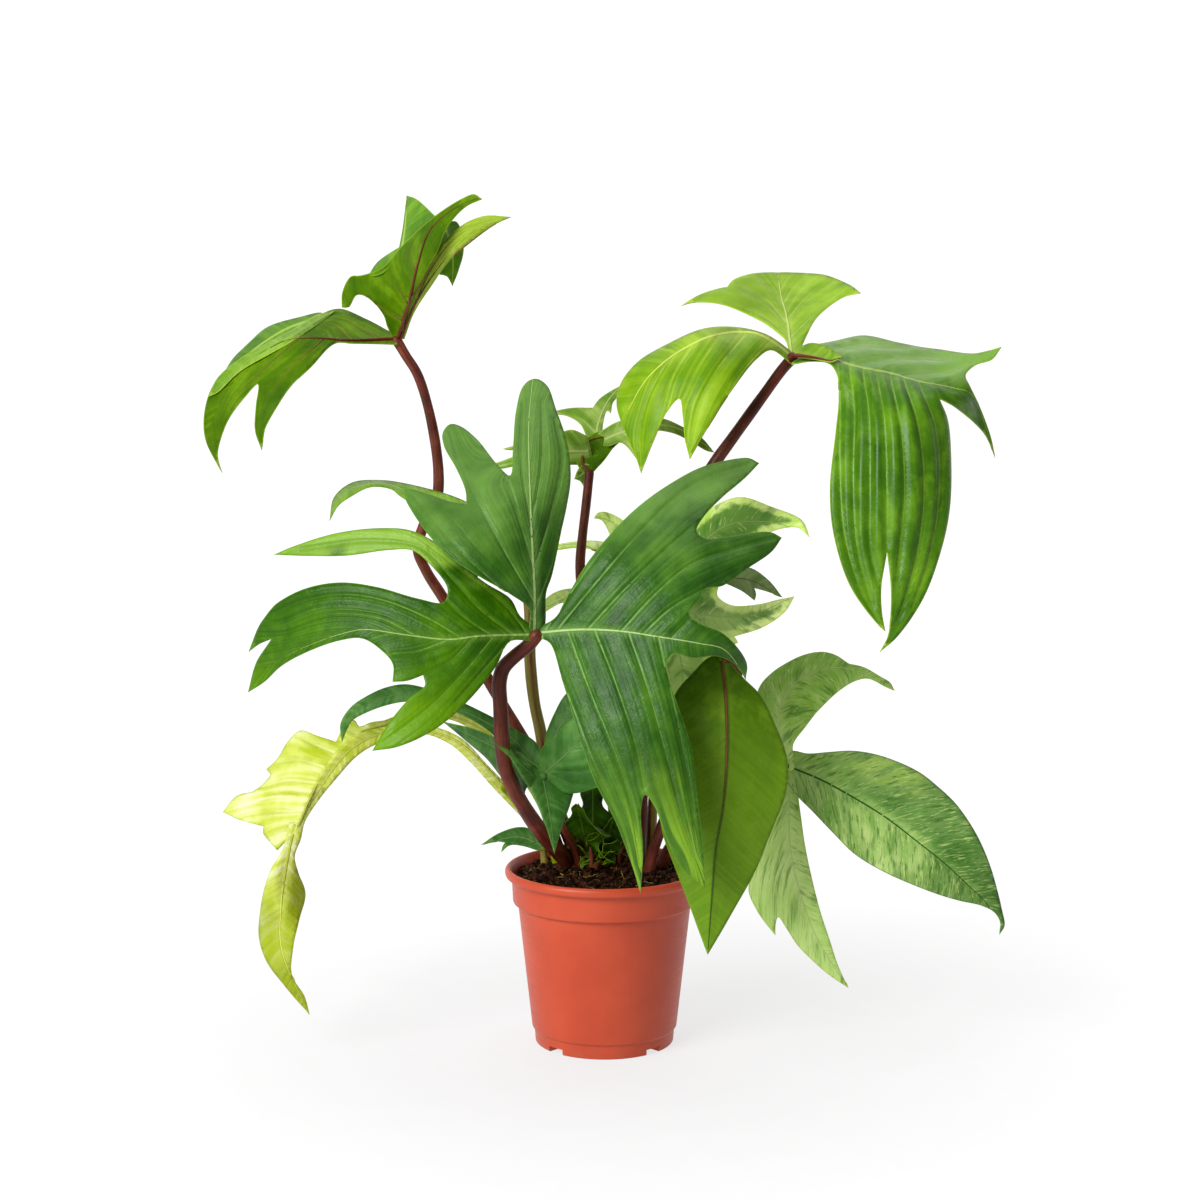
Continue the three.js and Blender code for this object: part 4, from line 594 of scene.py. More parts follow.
# Up and over to the right.
LOWER_RIGHT_ARCHED = {
    "edge": [
        [[98, 190], [91, 208], [93, 217], [100, 225], [110, 231.5], [120, 235.8], [130, 237.3],
            [138, 235.5], [146, 230.5]],
        [[155, 228.4], [165, 222.8], [171, 219], [174, 214]],
        [[168, 216.5], [158, 221.3], [150, 219.8], [140, 213.5], [130, 204], [120, 191.5], [114, 183.5],
            [112.8, 179.5], [116, 168]],
        [[108, 165]],
    ],
    "rib": [[111, 168], [104, 195], [112, 217], [136, 228], [160, 223], [173, 215]],
    "lie": [[111, 168, -17], [103, 205, -5], [130, 220, 13], [100, 222, 8], [174, 214, 42]],
}
LOWER_RIGHT_LARGE = {
    "edge": [
        [[112, 177], [122, 175.8], [135, 177], [148, 177.8], [160, 176], [175, 171], [190, 164],
            [200, 156.5], [210, 147], [220, 133], [228, 119], [234, 105], [238, 91], [240.5, 80],
            [242.3, 70], [239.5, 64.3]],
        [[239.8, 72], [236, 78.5], [228, 82.5], [215, 85.5], [200, 90], [180, 98], [165, 105.5], [150, 115],
            [138, 127], [125, 141], [115, 151], [108, 161]],
        [[107, 170]],
    ],
    "rib": [[111, 168], [130, 160], [150, 149], [170, 136.5], [190, 121], [205, 109], [220, 95], [232, 83],
        [239.5, 67]],
    "lie": [[110, 168, -17], [150, 149, -29], [200, 115, -39], [239.5, 64.3, -39], [160, 176, -5],
        [213, 140, -16], [150, 115, -44], [195, 92, -49], [228, 83, -42]],
    "paint": 1,
}
# Down, with a side tooth.
LOWER_RIGHT_DOWN = {
    "edge": [
        [[103, 145], [95, 115], [87, 93], [92, 80], [97, 72.5], [103.7, 64.2]],
        [[103.6, 71], [105.3, 75.5], [110, 69], [117, 58], [125, 49.5], [135, 40.5], [148.5, 31]],
        [[142, 45], [137, 60], [131, 78], [126, 97], [121, 120], [118, 140], [114, 168]],
        [[106, 168]],
    ],
    "rib": [[111, 166], [112, 120], [119, 88], [130, 60], [147.5, 32.5]],
    "veins": [
        [[112, 120], [104, 95], [103.5, 67]],
    ],
    "lie": [[111, 166, -17], [112, 110, -34], [104, 65, -36], [126, 60, -39], [148.5, 31, -34]],
}
LOWER_RIGHT = {
    "knob": {"x": 111, "y": -17, "z": 168, "radius": 4},
    "lobes": [LOWER_RIGHT_ARCHED, LOWER_RIGHT_LARGE, LOWER_RIGHT_DOWN],
    "path": [[33, 4, STEM_FOOT], [34, 3.5, 106], [42, 1, 122], [62, -5, 142], [86, -10, 158],
        [110, -17, 168]],
    "radii": [3.6, 3], "green_knob": True,
}


# Hanging leaf

HANGING_BLADE = {
    "edge": [
        [[75, 231], [83.6, 221], [92.9, 211.6], [102.4, 194], [109.6, 173], [109, 152], [101.2, 129],
            [90.3, 102.7], [77, 77], [62.6, 52]],
        [[57, 67], [43.4, 104.2], [34.5, 129], [32.5, 152], [35, 182], [42.3, 211.7], [53, 225], [62, 234],
            [70, 236]],
    ],
    "rib": [[70, 232], [72.6, 204.6], [73, 170], [71, 140.8], [67, 117], [65, 90], [62.8, 56]],
    "lie": [[70, 232, -62], [73, 188, -86], [71, 140, -99], [66, 103, -107], [62.6, 52, -107],
        [110, 172, -73], [90, 103, -98], [34, 150, -86], [45, 104, -99]],
    "under": True,
}
HANGING = {
    "knob": {"x": 70.5, "y": -62, "z": 233.5, "radius": 3.4},
    "lobes": [HANGING_BLADE],
    "path": [[27, -10, STEM_FOOT], [27.5, -10, 108], [38, -17, 140], [58, -29, 180], [74, -40, 210],
        [79.5, -48, 222], [78.5, -56, 230], [71, -62, 234]],
    "radii": [3.4, 2.6], "green_knob": True,
}


# New leaf

# Channelled stalk, arching out to the left.
YOUNG_CHANNEL = {
    "edge": [
        [[-40, 138], [-54, 152], [-70, 168.5], [-85, 184.5], [-100, 191.5], [-118, 193.5], [-134, 192],
            [-150, 187], [-160, 178.5], [-168, 168], [-176, 154], [-184, 137], [-190, 122]],
        [[-184, 124], [-180, 135], [-170, 150], [-160, 162], [-150, 173], [-140, 180], [-120, 187.2],
            [-107, 187.5], [-92, 181], [-80, 170], [-67, 155], [-50, 137], [-34, 120]],
        [[-28, 124]],
    ],
    "rib": [[-31, 122], [-45, 139], [-60, 155], [-90, 184], [-120, 190.5], [-150, 180], [-175, 148],
        [-187, 124]],
    "lie": [[-31, 122, 3], [-45, 139, -13], [-60, 155, -21], [-90, 184, -26], [-120, 190.5, -26],
        [-150, 180, -26], [-175, 148, -29], [-187, 124, -31]],
}
# Second strand, above the stalk.
YOUNG_STRAND = {
    "edge": [
        [[-33.5, 146], [-49, 170], [-62, 186], [-78, 197.5], [-92, 202.5], [-110, 203], [-128, 197.5],
            [-147, 189]],
        [[-130, 189.5], [-112, 197], [-93, 196.5], [-79, 190], [-66, 179.5], [-54, 166], [-40, 143],
            [-33, 120]],
        [[-27, 122]],
    ],
    "rib": [[-30, 121], [-37, 145], [-52, 168], [-70, 188], [-100, 200], [-144, 189.5]],
    "lie": [[-30, 121, 4], [-37, 145, -10], [-52, 168, -21], [-70, 188, -23], [-100, 200, -25],
        [-140, 191, -26]],
}
# The crinkled half blade.
YOUNG_HALF_BLADE = {
    "edge": [
        [[-186, 130], [-178, 148], [-168, 166], [-150, 184], [-132, 190], [-128, 196.5]],
        [[-140, 195], [-147, 192.5], [-150, 196.4], [-156, 192], [-161, 183]],
        [[-172, 186.5], [-182, 189.8], [-190, 183], [-197, 172.5], [-203.5, 166.5]],
        [[-201, 163]],
        [[-207, 156], [-212, 152.5]],
        [[-221, 150], [-229.5, 140]],
        [[-220, 135.4], [-205, 131.2]],
        [[-205.5, 127.5], [-197, 116.5]],
        [[-192, 122]],
    ],
    "rib": [[-130, 191.5], [-150, 184], [-168, 166], [-178, 148], [-187, 127]],
    "veins": [
        [[-146, 187], [-152, 190], [-156, 192]],
        [[-160, 176], [-172, 181], [-184, 187]],
        [[-167, 167], [-183, 172], [-196, 171]],
        [[-172, 158], [-190, 160], [-206, 156]],
        [[-178, 148], [-200, 149], [-227, 141]],
        [[-182, 139], [-200, 138], [-216, 136]],
        [[-186, 129], [-196, 126], [-202, 121]],
    ],
    "lie": [[-130, 192, -25], [-150, 184, -26], [-168, 166, -27], [-186, 130, -31], [-156, 193, -16],
        [-182, 189, -8], [-203, 167, 3], [-190, 160, -18], [-212, 152, 5], [-229.5, 140, 13],
        [-205, 140, -10], [-197, 117, -23]],
    "pleat": 1.6,
}
# The folded tip that hangs down.
YOUNG_TIP = {
    "edge": [
        [[-194, 118], [-201, 106], [-206, 93], [-208.8, 78], [-209, 62], [-204.5, 47], [-195, 33],
            [-179.5, 14.3]],
        [[-182.5, 26], [-190, 39], [-188.7, 56], [-185, 73], [-180.6, 90], [-185, 103], [-187, 113],
            [-183, 124], [-181, 134]],
        [[-190, 134]],
    ],
    "rib": [[-187, 132], [-192, 108], [-196, 80], [-196, 55], [-181, 17]],
    "lie": [[-187, 126, -31], [-193, 110, -34], [-196, 80, -42], [-209, 70, -23], [-181, 90, -26],
        [-195, 50, -42], [-179.5, 14, -34]],
    "pleat": 1.2,
}
YOUNG = {
    "lobes": [YOUNG_CHANNEL, YOUNG_STRAND, YOUNG_HALF_BLADE, YOUNG_TIP],
    "path": [[-27, 12, STEM_FOOT], [-27.3, 12, 105], [-31.5, 6, 119], [-45, -12, 138], [-60, -20, 155]],
    "radii": [3.4, 2.6],
}


# Low centre leaf

# Strap to the left.
LOW_STRAP = {
    "edge": [
        [[-40.2, 181.6], [-51.2, 189.4], [-66, 197.5], [-84, 206.5], [-97, 212], [-110, 216.5], [-120, 218],
            [-131, 216], [-142, 211], [-152, 204], [-158.3, 194], [-157.7, 182.7]],
        [[-152, 195], [-143, 200.5], [-131, 205], [-119, 207.3], [-105, 206], [-88, 200.5], [-70, 190],
            [-56, 176], [-42, 160]],
        [[-34, 162]],
    ],
    "rib": [[-38, 162], [-52, 182], [-66, 192], [-90, 204], [-120, 212], [-148, 202], [-158, 185]],
    "lie": [[-37, 162, -60], [-45, 180, -53], [-60, 188, -49], [-84, 203, -47], [-120, 213, -44],
        [-157, 184, -44]],
}
LOW_LOWER_LEFT = {
    "edge": [
        [[-58, 181], [-78, 191], [-97, 194.8]],
        [[-84, 184.5], [-72, 173.8], [-63, 162], [-55, 152], [-47, 145]],
        [[-47.5, 153], [-43, 159], [-36, 159]],
        [[-38, 167]],
    ],
    "rib": [[-38, 162], [-60, 176], [-95, 194]],
    "veins": [
        [[-46, 167], [-52, 158], [-48, 147]],
    ],
    "lie": [[-39, 163, -56], [-58, 172, -47], [-97, 194.8, -39], [-47, 146, -35], [-50, 156, -40]],
}
# Right, behind the front leaf's edge.
LOW_RIGHT = {
    "edge": [
        [[-40, 172], [-37, 180.4], [-30, 186], [-21, 195.5], [-8, 203], [10, 206]],
        [[14, 190], [8, 172], [-1, 157], [-8, 154], [-17, 151.5], [-26, 152], [-36, 157]],
        [[-40, 162]],
    ],
    "rib": [[-37, 163], [-20, 178], [8, 200]],
    "veins": [
        [[-34, 165], [-14, 165], [6, 172]],
        [[-35, 164], [-22, 158], [-6, 156]],
    ],
    "lie": [[-37, 163, -60], [-20, 180, -68], [10, 200, -73], [-8, 156, -70]],
}
LOW_DOWN = {
    "edge": [
        [[-49, 168], [-41.4, 146.8], [-34.5, 129], [-30, 114.6]],
        [[-25.8, 130], [-20, 147.5], [-19, 153], [-28, 164]],
        [[-36, 168]],
    ],
    "rib": [[-37, 162], [-33, 140], [-30.2, 117]],
    "lie": [[-37, 162, -60], [-32, 140, -75], [-30, 115, -78], [-48, 168, -62]],
}
# Slender, crossing in front of the front leaf's petiole.
LOW_SLENDER = {
    "edge": [
        [[-50, 171], [-57, 178], [-66, 182.3]],
        [[-57.5, 174.5], [-49.5, 161], [-43, 151]],
        [[-37, 158]],
    ],
    "rib": [[-40, 160], [-52, 171], [-65, 181.3]],
    "lie": [[-40, 160, -62], [-50, 173, -75], [-49, 159, -74], [-57.5, 175, -77], [-66, 182, -78]],
}
# Light, upright, behind the right lobe.
LOW_UPRIGHT = {
    "edge": [
        [[-36, 183], [-34.5, 190], [-30, 200.5], [-23.5, 211.5], [-10, 222]],
        [[-5, 205], [-15, 190], [-28, 176]],
        [[-37, 176]],
    ],
    "rib": [[-34, 178], [-24, 198], [-11, 220]],
    "lie": [[-34, 178, -61], [-32, 198, -53], [-12, 196, -58], [-10, 222, -49]],
}
LOW = {
    "knob": {"x": -37, "y": -60, "z": 162, "radius": 3.2},
    "lobes": [LOW_STRAP, LOW_LOWER_LEFT, LOW_RIGHT, LOW_DOWN, LOW_SLENDER, LOW_UPRIGHT],
    "path": [[-14.8, -4.5, STEM_FOOT], [-15, -5, 106], [-17.8, -13, 117], [-23.5, -29, 128],
        [-30, -46, 142], [-37, -60, 162]],
    "radii": [2.4, 2.2], "green_knob": True,
}


# Rim leaf

RIM_BLADE = {
    "edge": [
        [[-44, 129.5], [-52, 130.7], [-64, 127], [-75, 120]],
        [[-66, 122.3], [-60, 121.4]],
        [[-61.5, 119], [-62.3, 115.5]],
        [[-57, 119.6], [-48, 118.8], [-40, 116.5], [-34, 117]],
        [[-34, 122]],
    ],
    "rib": [[-37, 119.5], [-52, 125], [-74, 120.3]],
    "lie": [[-37, 119.5, 18], [-50, 124, 22], [-75, 120, 26], [-62, 115.5, 18]],
}
RIM = {
    "knob": {"x": -37, "y": 18, "z": 119.5, "radius": 2.6},
    "lobes": [RIM_BLADE],
    "path": [[-36, 13, STEM_FOOT], [-36, 13, 104], [-36.5, 18, 112], [-37, 18, 119]],
    "radii": [2.2, 2], "green_knob": True,
}


# Middle left leaf

# Arched to the left.
MID_LEFT_ARCHED = {
    "edge": [
        [[-84, 328], [-100, 334], [-118, 338.3], [-133, 340.3], [-150, 338.5], [-160.5, 330],
            [-163.5, 316]],
        [[-158, 325], [-149, 331], [-138, 336], [-126, 334.5], [-121, 330.5], [-112, 325.5], [-95, 318],
            [-72, 310]],
        [[-66, 318]],
    ],
    "rib": [[-71, 316], [-100, 327], [-133, 338.5], [-156, 332], [-163, 318]],
    "lie": [[-71, 316, -8], [-100, 333, 6], [-100, 321, -6], [-133, 340, 18], [-135, 336.5, 5],
        [-163.5, 316, 8]],
}
MID_LEFT_UPWARD = {
    "edge": [
        [[-66, 330], [-56, 338], [-42, 340]],
        [[-44, 326], [-54, 314], [-66, 309]],
        [[-74, 314]],
    ],
    "rib": [[-71, 316], [-58, 326], [-43.5, 339]],
    "lie": [[-71, 316, -8], [-60, 334, -10], [-50, 320, -18], [-42, 340, -21]],
}
MID_LEFT_DOWNWARD = {
    "edge": [
        [[-80, 308], [-87, 290], [-87, 273]],
        [[-74, 284], [-66, 300], [-64, 312]],
        [[-70, 320]],
    ],
    "rib": [[-71, 316], [-78, 296], [-86.5, 275]],
    "lie": [[-71, 316, -8], [-86, 292, -16], [-68, 296, -21], [-87, 273, -23]],
}
MID_LEFT = {
    "knob": {"x": -71, "y": -8, "z": 316, "radius": 4},
    "lobes": [MID_LEFT_ARCHED, MID_LEFT_UPWARD, MID_LEFT_DOWNWARD],
    "path": [[-24, 22, STEM_FOOT], [-24.5, 22, 106], [-33, 9.5, 134], [-37.5, 2, 184], [-42.2, -1, 208.4],
        [-44.6, -4, 235], [-44.5, -6, 262], [-49, -8, 287], [-59, -8, 305], [-71, -8, 316]],
    "radii": [3.9, 3.3], "green_knob": True,
}


# Curves and sheets

def place(points):
    """Sight points (n x 3: x, y, z) moved along the line of sight to their true places."""
    scale = ((EYE_DISTANCE + points[:, 1]) / EYE_DISTANCE)[:, None]
    eye = np.array([EYE_X, 0.0, EYE_HEIGHT])
    flat = points * [1, 0, 1]
    return eye + (flat - eye) * scale + points * [0, 1, 0]


def lengths_along(line):
    """How far along a line each of its points lies."""
    return np.concatenate([[0], np.cumsum(np.linalg.norm(np.diff(line, axis=0), axis=1))])


def curve_through(controls, step):
    """Points along the centripetal Catmull-Rom curve through the controls, every given
    point included."""
    controls = np.asarray(controls, float)
    before_first = 2 * controls[0] - controls[1]
    after_last = 2 * controls[-1] - controls[-2]
    padded = np.vstack([before_first, controls, after_last])
    found = [controls[:1]]
    for i in range(len(controls) - 1):
        a, b, c, d = padded[i:i + 4]
        before, here, after = (math.sqrt(np.linalg.norm(q - p)) for p, q in ((a, b), (b, c), (c, d)))
        start = ((b - a) / before - (c - a) / (before + here) + (c - b) / here) * here
        end = ((c - b) / here - (d - b) / (here + after) + (d - c) / after) * here
        count = max(1, round(np.linalg.norm(c - b) / step))
        t = (np.arange(1, count + 1) / count)[:, None]
        found.append(b + start * t + (3 * (c - b) - 2 * start - end) * t ** 2
                     + (2 * (b - c) + start + end) * t ** 3)
    return np.vstack(found)


def outline(strokes):
    """The closed outline made of smooth strokes from corner to corner, anticlockwise."""
    last = strokes[-1][-1]
    parts = []
    for stroke in strokes:
        parts.append(curve_through([last, *stroke], OUTLINE_STEP)[1:])
        last = stroke[-1]
    border = np.vstack(parts)
    following = np.roll(border, -1, axis=0)
    area = np.sum(border[:, 0] * following[:, 1] - following[:, 0] * border[:, 1])
    return border if area > 0 else border[::-1]


def inside(points, border):
    """Which points lie inside the closed border."""
    odd = np.zeros(len(points), bool)
    x, z = points[:, 0], points[:, 1]
    for p, q in zip(border, np.roll(border, 1, axis=0)):
        if p[1] != q[1]:
            crosses = (p[1] > z) != (q[1] > z)
            odd ^= crosses & (x < p[0] + (z - p[1]) / (q[1] - p[1]) * (q[0] - p[0]))
    return odd


def nearest_on(points, line, closed=False):
    """For each point: the distance to the polyline, how far along it the nearest point
    lies, and which side of it the point is on."""
    starts = line if closed else line[:-1]
    ends = np.roll(line, -1, axis=0) if closed else line[1:]
    spans = ends - starts
    lengths = np.maximum(np.linalg.norm(spans, axis=1), 1e-9)
    travelled = np.concatenate([[0], np.cumsum(lengths)[:-1]])
    distance = np.full(len(points), np.inf)
    along = np.zeros(len(points))
    side = np.ones(len(points))
    for start, span, length, offset in zip(starts, spans, lengths, travelled):
        away = points - start
        t = np.clip(away @ span / length ** 2, 0, 1)
        gap = np.linalg.norm(away - t[:, None] * span, axis=1)
        closer = gap < distance
        distance[closer] = gap[closer]
        along[closer] = (offset + t * length)[closer]
        turn = span[0] * away[:, 1] - span[1] * away[:, 0]
        side[closer] = np.where(turn[closer] >= 0, 1, -1)
    return distance, along, side


def to_border(points, border):
    return nearest_on(points, border, closed=True)[0]


def plate(samples):
    """The smooth value(x, z) through [x, z, value] samples, as a thin plate bends."""
    samples = np.asarray(samples, float)
    at, values = samples[:, :2], samples[:, 2]
    middle = at.mean(axis=0)
    scale = np.abs(at - middle).max()

    def kernel(a, b):
        square = np.sum((a[:, None] - b[None]) ** 2, axis=2)
        return 0.5 * square * np.log(np.maximum(square, 1e-12))

    def flat(a):
        return np.hstack([np.ones((len(a), 1)), a])

    at = (at - middle) / scale
    rows = np.block([[kernel(at, at), flat(at)], [flat(at).T, np.zeros((3, 3))]])
    weights = np.linalg.lstsq(rows, np.concatenate([values, np.zeros(3)]), rcond=None)[0]

    def value(points):
        points = (points - middle) / scale
        return kernel(points, at) @ weights[:-3] + flat(points) @ weights[-3:]
    return value


def inner_points(border, lines, spacing):
    """Points on the rib and the veins, and a staggered grid clear of them and the border."""
    low, high = border.min(axis=0), border.max(axis=0)
    rows = np.arange(low[1], high[1], spacing * math.sin(math.pi / 3))
    grid = np.array([[x + 0.5 * spacing * (row % 2), z] for row, z in enumerate(rows)
                     for x in np.arange(low[0], high[0], spacing)])
    grid = grid[inside(grid, border) & (to_border(grid, border) > 0.5 * spacing)]
    kept = np.empty((0, 2))
    for line in lines:
        line = line[inside(line, border) & (to_border(line, border) > LEAST_FROM_BORDER)]
        if len(kept):
            line = line[[np.linalg.norm(kept - p, axis=1).min() > LEAST_BETWEEN_LINES for p in line]]
        kept = np.vstack([kept, line])
    clear = [np.linalg.norm(kept - p, axis=1).min() > 0.6 * spacing for p in grid]
    return np.vstack([kept, grid[clear]])


def triangulate(border, inner):
    points = np.vstack([border, inner])
    count = len(border)
    edges = [(i, (i + 1) % count) for i in range(count)]
    made = delaunay_2d_cdt([Vector(p) for p in points], edges, [], 1, 1e-5)
    points = np.array([tuple(p) for p in made[0]])
    faces = np.array(made[2])
    return points, faces[inside(points[faces].mean(axis=1), border)]


def normals_of(points, faces):
    corners = points[faces]
    face_normals = np.cross(corners[:, 1] - corners[:, 0], corners[:, 2] - corners[:, 0])
    total = np.zeros_like(points)
    for k in range(3):
        np.add.at(total, faces[:, k], face_normals)
    return total / np.maximum(np.linalg.norm(total, axis=1, keepdims=True), 1e-12)


def closed_sheet(faces, triangles, count):
    """The faces of a thin sheet: its front, its back and the strip along its border."""
    directed = {(face[k], face[(k + 1) % 3]) for face in triangles.tolist() for k in range(3)}
    border = [(a, b) for a, b in directed if (b, a) not in directed]
    back = [[i + count for i in reversed(face)] for face in faces]
    strip = [(a, a + count, b + count, b) for a, b in border]
    return [*faces, *back, *strip], len(strip)


def full_turn(sides):
    """The angles of so many points around a circle."""
    return np.arange(sides) / sides * 2 * math.pi


def ring_faces(rings, sides, offset=0):
    """The quads between rings of points that follow one another."""
    faces = []
    for i in range(rings - 1):
        for j in range(sides):
            a = offset + i * sides + j
            b = offset + i * sides + (j + 1) % sides
            faces.append((a, b, b + sides, a + sides))
    return faces


def cap_faces(first, last, start, end, sides):
    """The triangles from point first to the ring at start, and from last to the ring at end."""
    faces = []
    for j in range(sides):
        following = (j + 1) % sides
        faces.append((first, start + following, start + j))
        faces.append((last, end + j, end + following))
    return faces


def prism_faces(sides):
    """The faces of a block between two rings of points."""
    faces = [tuple(range(sides - 1, -1, -1)), tuple(range(sides, 2 * sides))]
    return faces + [(j, (j + 1) % sides, sides + (j + 1) % sides, sides + j) for j in range(sides)]


def mesh_part(points, faces, slot, run, rim, share, flat=False):
    """A mesh as build() takes it: run, rim and share are the three sets of values that
    its paint reads at each point."""
    return {
        "points": np.array(points, float), "faces": faces,
        "slots": [slot] * len(faces), "flat": [flat] * len(faces),
        "run": np.array(run, float), "rim": np.array(rim, float), "share": np.array(share, float),
    }


def tube_mesh(path, radii, sides, slot):
    """A closed round tube along points, with a radius at each."""
    path = np.asarray(path, float)
    ahead = np.gradient(path, axis=0)
    ahead /= np.linalg.norm(ahead, axis=1, keepdims=True)
    across = np.cross(ahead[0], [0, 1, 0] if abs(ahead[0][1]) < 0.9 else [1, 0, 0])
    across /= np.linalg.norm(across)
    angles = full_turn(sides)
    lengths = lengths_along(path)
    rings = []
    run = []
    for centre, direction, radius, length in zip(path, ahead, radii, lengths):
        across = across - direction * (across @ direction)
        across /= np.linalg.norm(across)
        up = np.cross(direction, across)
        rings.append(centre + radius * (np.cos(angles)[:, None] * across + np.sin(angles)[:, None] * up))
        run += [[length, math.cos(a), math.sin(a)] for a in angles]
    rings.append(path[[0, -1]])
    run += [[0, 0, 0], [lengths[-1], 0, 0]]
    first = len(path) * sides
    faces = ring_faces(len(path), sides) + cap_faces(first, first + 1, 0, first - sides, sides)
    share = [[length / lengths[-1], 0, 0] for length in lengths for _ in angles]
    share += [[0, 0, 0], [1, 0, 0]]
    return mesh_part(np.vstack(rings), faces, slot, run, np.full((len(run), 3), FAR), share)


def build(name, parts, materials, nodes):
    """One piece made of several meshes, which stands for the CAD nodes."""
    points, faces, slots, flat = [], [], [], []
    offset = 0
    for part in parts:
        points.append(part["points"])
        faces += [[i + offset for i in face] for face in part["faces"]]
        slots += part["slots"]
        flat += part["flat"]
        offset += len(part["points"])
    mesh = bpy.data.meshes.new(name)
    mesh.from_pydata((np.vstack(points) * MM).tolist(), [], faces)
    for key in ("run", "rim", "share"):
        values = np.vstack([part[key] for part in parts]).astype(np.float32)
        layer = mesh.attributes.new(key, "FLOAT_VECTOR", "POINT")
        layer.data.foreach_set("vector", values.ravel())
    mesh.polygons.foreach_set("use_smooth", [not f for f in flat])
    mesh.polygons.foreach_set("material_index", slots)
    for material in materials:
        mesh.materials.append(material)
    mesh.update()
    piece = bpy.data.objects.new(name, mesh)
    bpy.context.scene.collection.objects.link(piece)
    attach(piece, "root")
    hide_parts(*nodes)


# Lobes

def vein_run(lobe, rib, points):
    """For each point: the place on the rib where its vein leaves, in mm."""
    distance, along, side = nearest_on(points, rib)
    run = along - VEIN_LEAN * distance
    for hand in (-1, 1):
        samples = [[*p, s] for p, s in zip(rib[::3], nearest_on(rib[::3], rib)[1])]
        guided = False
        for vein in lobe.get("veins", []):
            line = curve_through(vein, GUIDE_STEP)
            if nearest_on(line[len(line) // 2:][:1], rib)[2][0] != hand:
                continue
            guided = True
            leaves = nearest_on(line[:1], rib)[1][0]
            samples += [[*p, leaves] for p in line[1:]]
        here = side == hand
        if guided and here.any():
            run[here] = plate(samples)(points[here])
    return run


def run_stretch(lobe, rib, points, run):
    """How many mm of leaf one mm of run takes at each point."""
    slope_x = (vein_run(lobe, rib, points + [SLOPE_STEP, 0]) - run) / SLOPE_STEP
    slope_z = (vein_run(lobe, rib, points + [0, SLOPE_STEP]) - run) / SLOPE_STEP
    return 1 / np.clip(np.hypot(slope_x, slope_z), 0.15, 6)


def nearest_vein(veins, points):
    """For each point: the distance to the nearest vein and how far along it that is, 0 to 1."""
    best = np.full(len(points), 99.0)
    share = np.zeros(len(points))
    for vein in veins:
        distance, along, _ = nearest_on(points, vein)
        closer = distance < best
        best[closer] = distance[closer]
        share[closer] = (along / lengths_along(vein)[-1])[closer]
    return best, share


def relief(lobe, tone, to_edge, to_rib, along, to_vein):
    """How far the sheet swells toward its upper side at each point: pleats between the
    veins, a groove along the rib and waves near the edge."""
    inset = np.clip(to_edge / 6, 0, 1) * np.clip(to_rib / 4, 0, 1)
    pleats = lobe.get("pleat", PLEAT) * (0.5 - np.exp(-(to_vein / PLEAT_REACH) ** 2)) * inset
    groove = -GROOVE * np.exp(-(to_rib / GROOVE_REACH) ** 2)
    toward = -1 if lobe.get("under") else 1
    near_edge = np.clip(1 - to_edge / WAVE_REACH, 0, 1) * np.clip(to_rib / WAVE_REACH, 0, 1)
    waves = WAVE * np.sin(along / WAVE_REACH + 2 * tone) * near_edge
    return toward * (pleats + groove) + waves


def lobe_lines(lobe):
    """The lobe's rib and veins as fine lines."""
    step = min(LINE_STEP, lobe["spacing"])
    return curve_through(lobe["rib"], step), [curve_through(vein, step) for vein in lobe.get("veins", [])]


def lobe_mesh(lobe, tone):
    """A closed thin sheet in true mm, with its faces' sides and its vein coordinates."""
    border = outline(lobe["edge"])
    rib, veins = lobe_lines(lobe)
    points, triangles = triangulate(border, inner_points(border, [rib, *veins], lobe["spacing"]))
    run = vein_run(lobe, rib, points)
    to_edge = to_border(points, border)
    to_rib, along, side = nearest_on(points, rib)
    to_vein, vein_share = nearest_vein(veins, points)

    depth = plate(lobe["lie"])(points) - lobe.get("lift", 0)
    middle = place(np.column_stack([points[:, 0], depth, points[:, 1]]))
    swell = relief(lobe, tone, to_edge, to_rib, along, to_vein)
    middle = middle + normals_of(middle, triangles) * swell[:, None]
    normals = normals_of(middle, triangles)
    half = HALF_THICKNESS * (0.45 + 0.55 * np.clip(to_edge / 1.5, 0, 1))[:, None]

    count = len(points)
    faces, strip = closed_sheet(triangles.tolist(), triangles, count)
    rib_share = along / lengths_along(rib)[-1] / lobe.get("shows", 1)
    run_values = np.column_stack([run, to_rib * side, run_stretch(lobe, rib, points, run)])
    rim_values = np.column_stack([to_edge, to_rib, to_vein])
    share_values = np.column_stack([rib_share, vein_share, np.full(count, tone)])
    sheet = mesh_part(np.vstack([middle + normals * half, middle - normals * half]), faces, 0,
                      np.vstack([run_values] * 2), np.vstack([rim_values] * 2), np.vstack([share_values] * 2))
    upper, below = (1, 0) if lobe.get("under") else (0, 1)
    pick = 2 * lobe.get("paint", 0)
    per_side = len(triangles)
    sheet["slots"] = [pick + upper] * per_side + [pick + below] * per_side + [pick + upper] * strip
    sheet["flat"] = [False] * (2 * per_side) + [True] * strip
    sheet.update(flat_points=points, middle=middle, normals=normals)
    return sheet


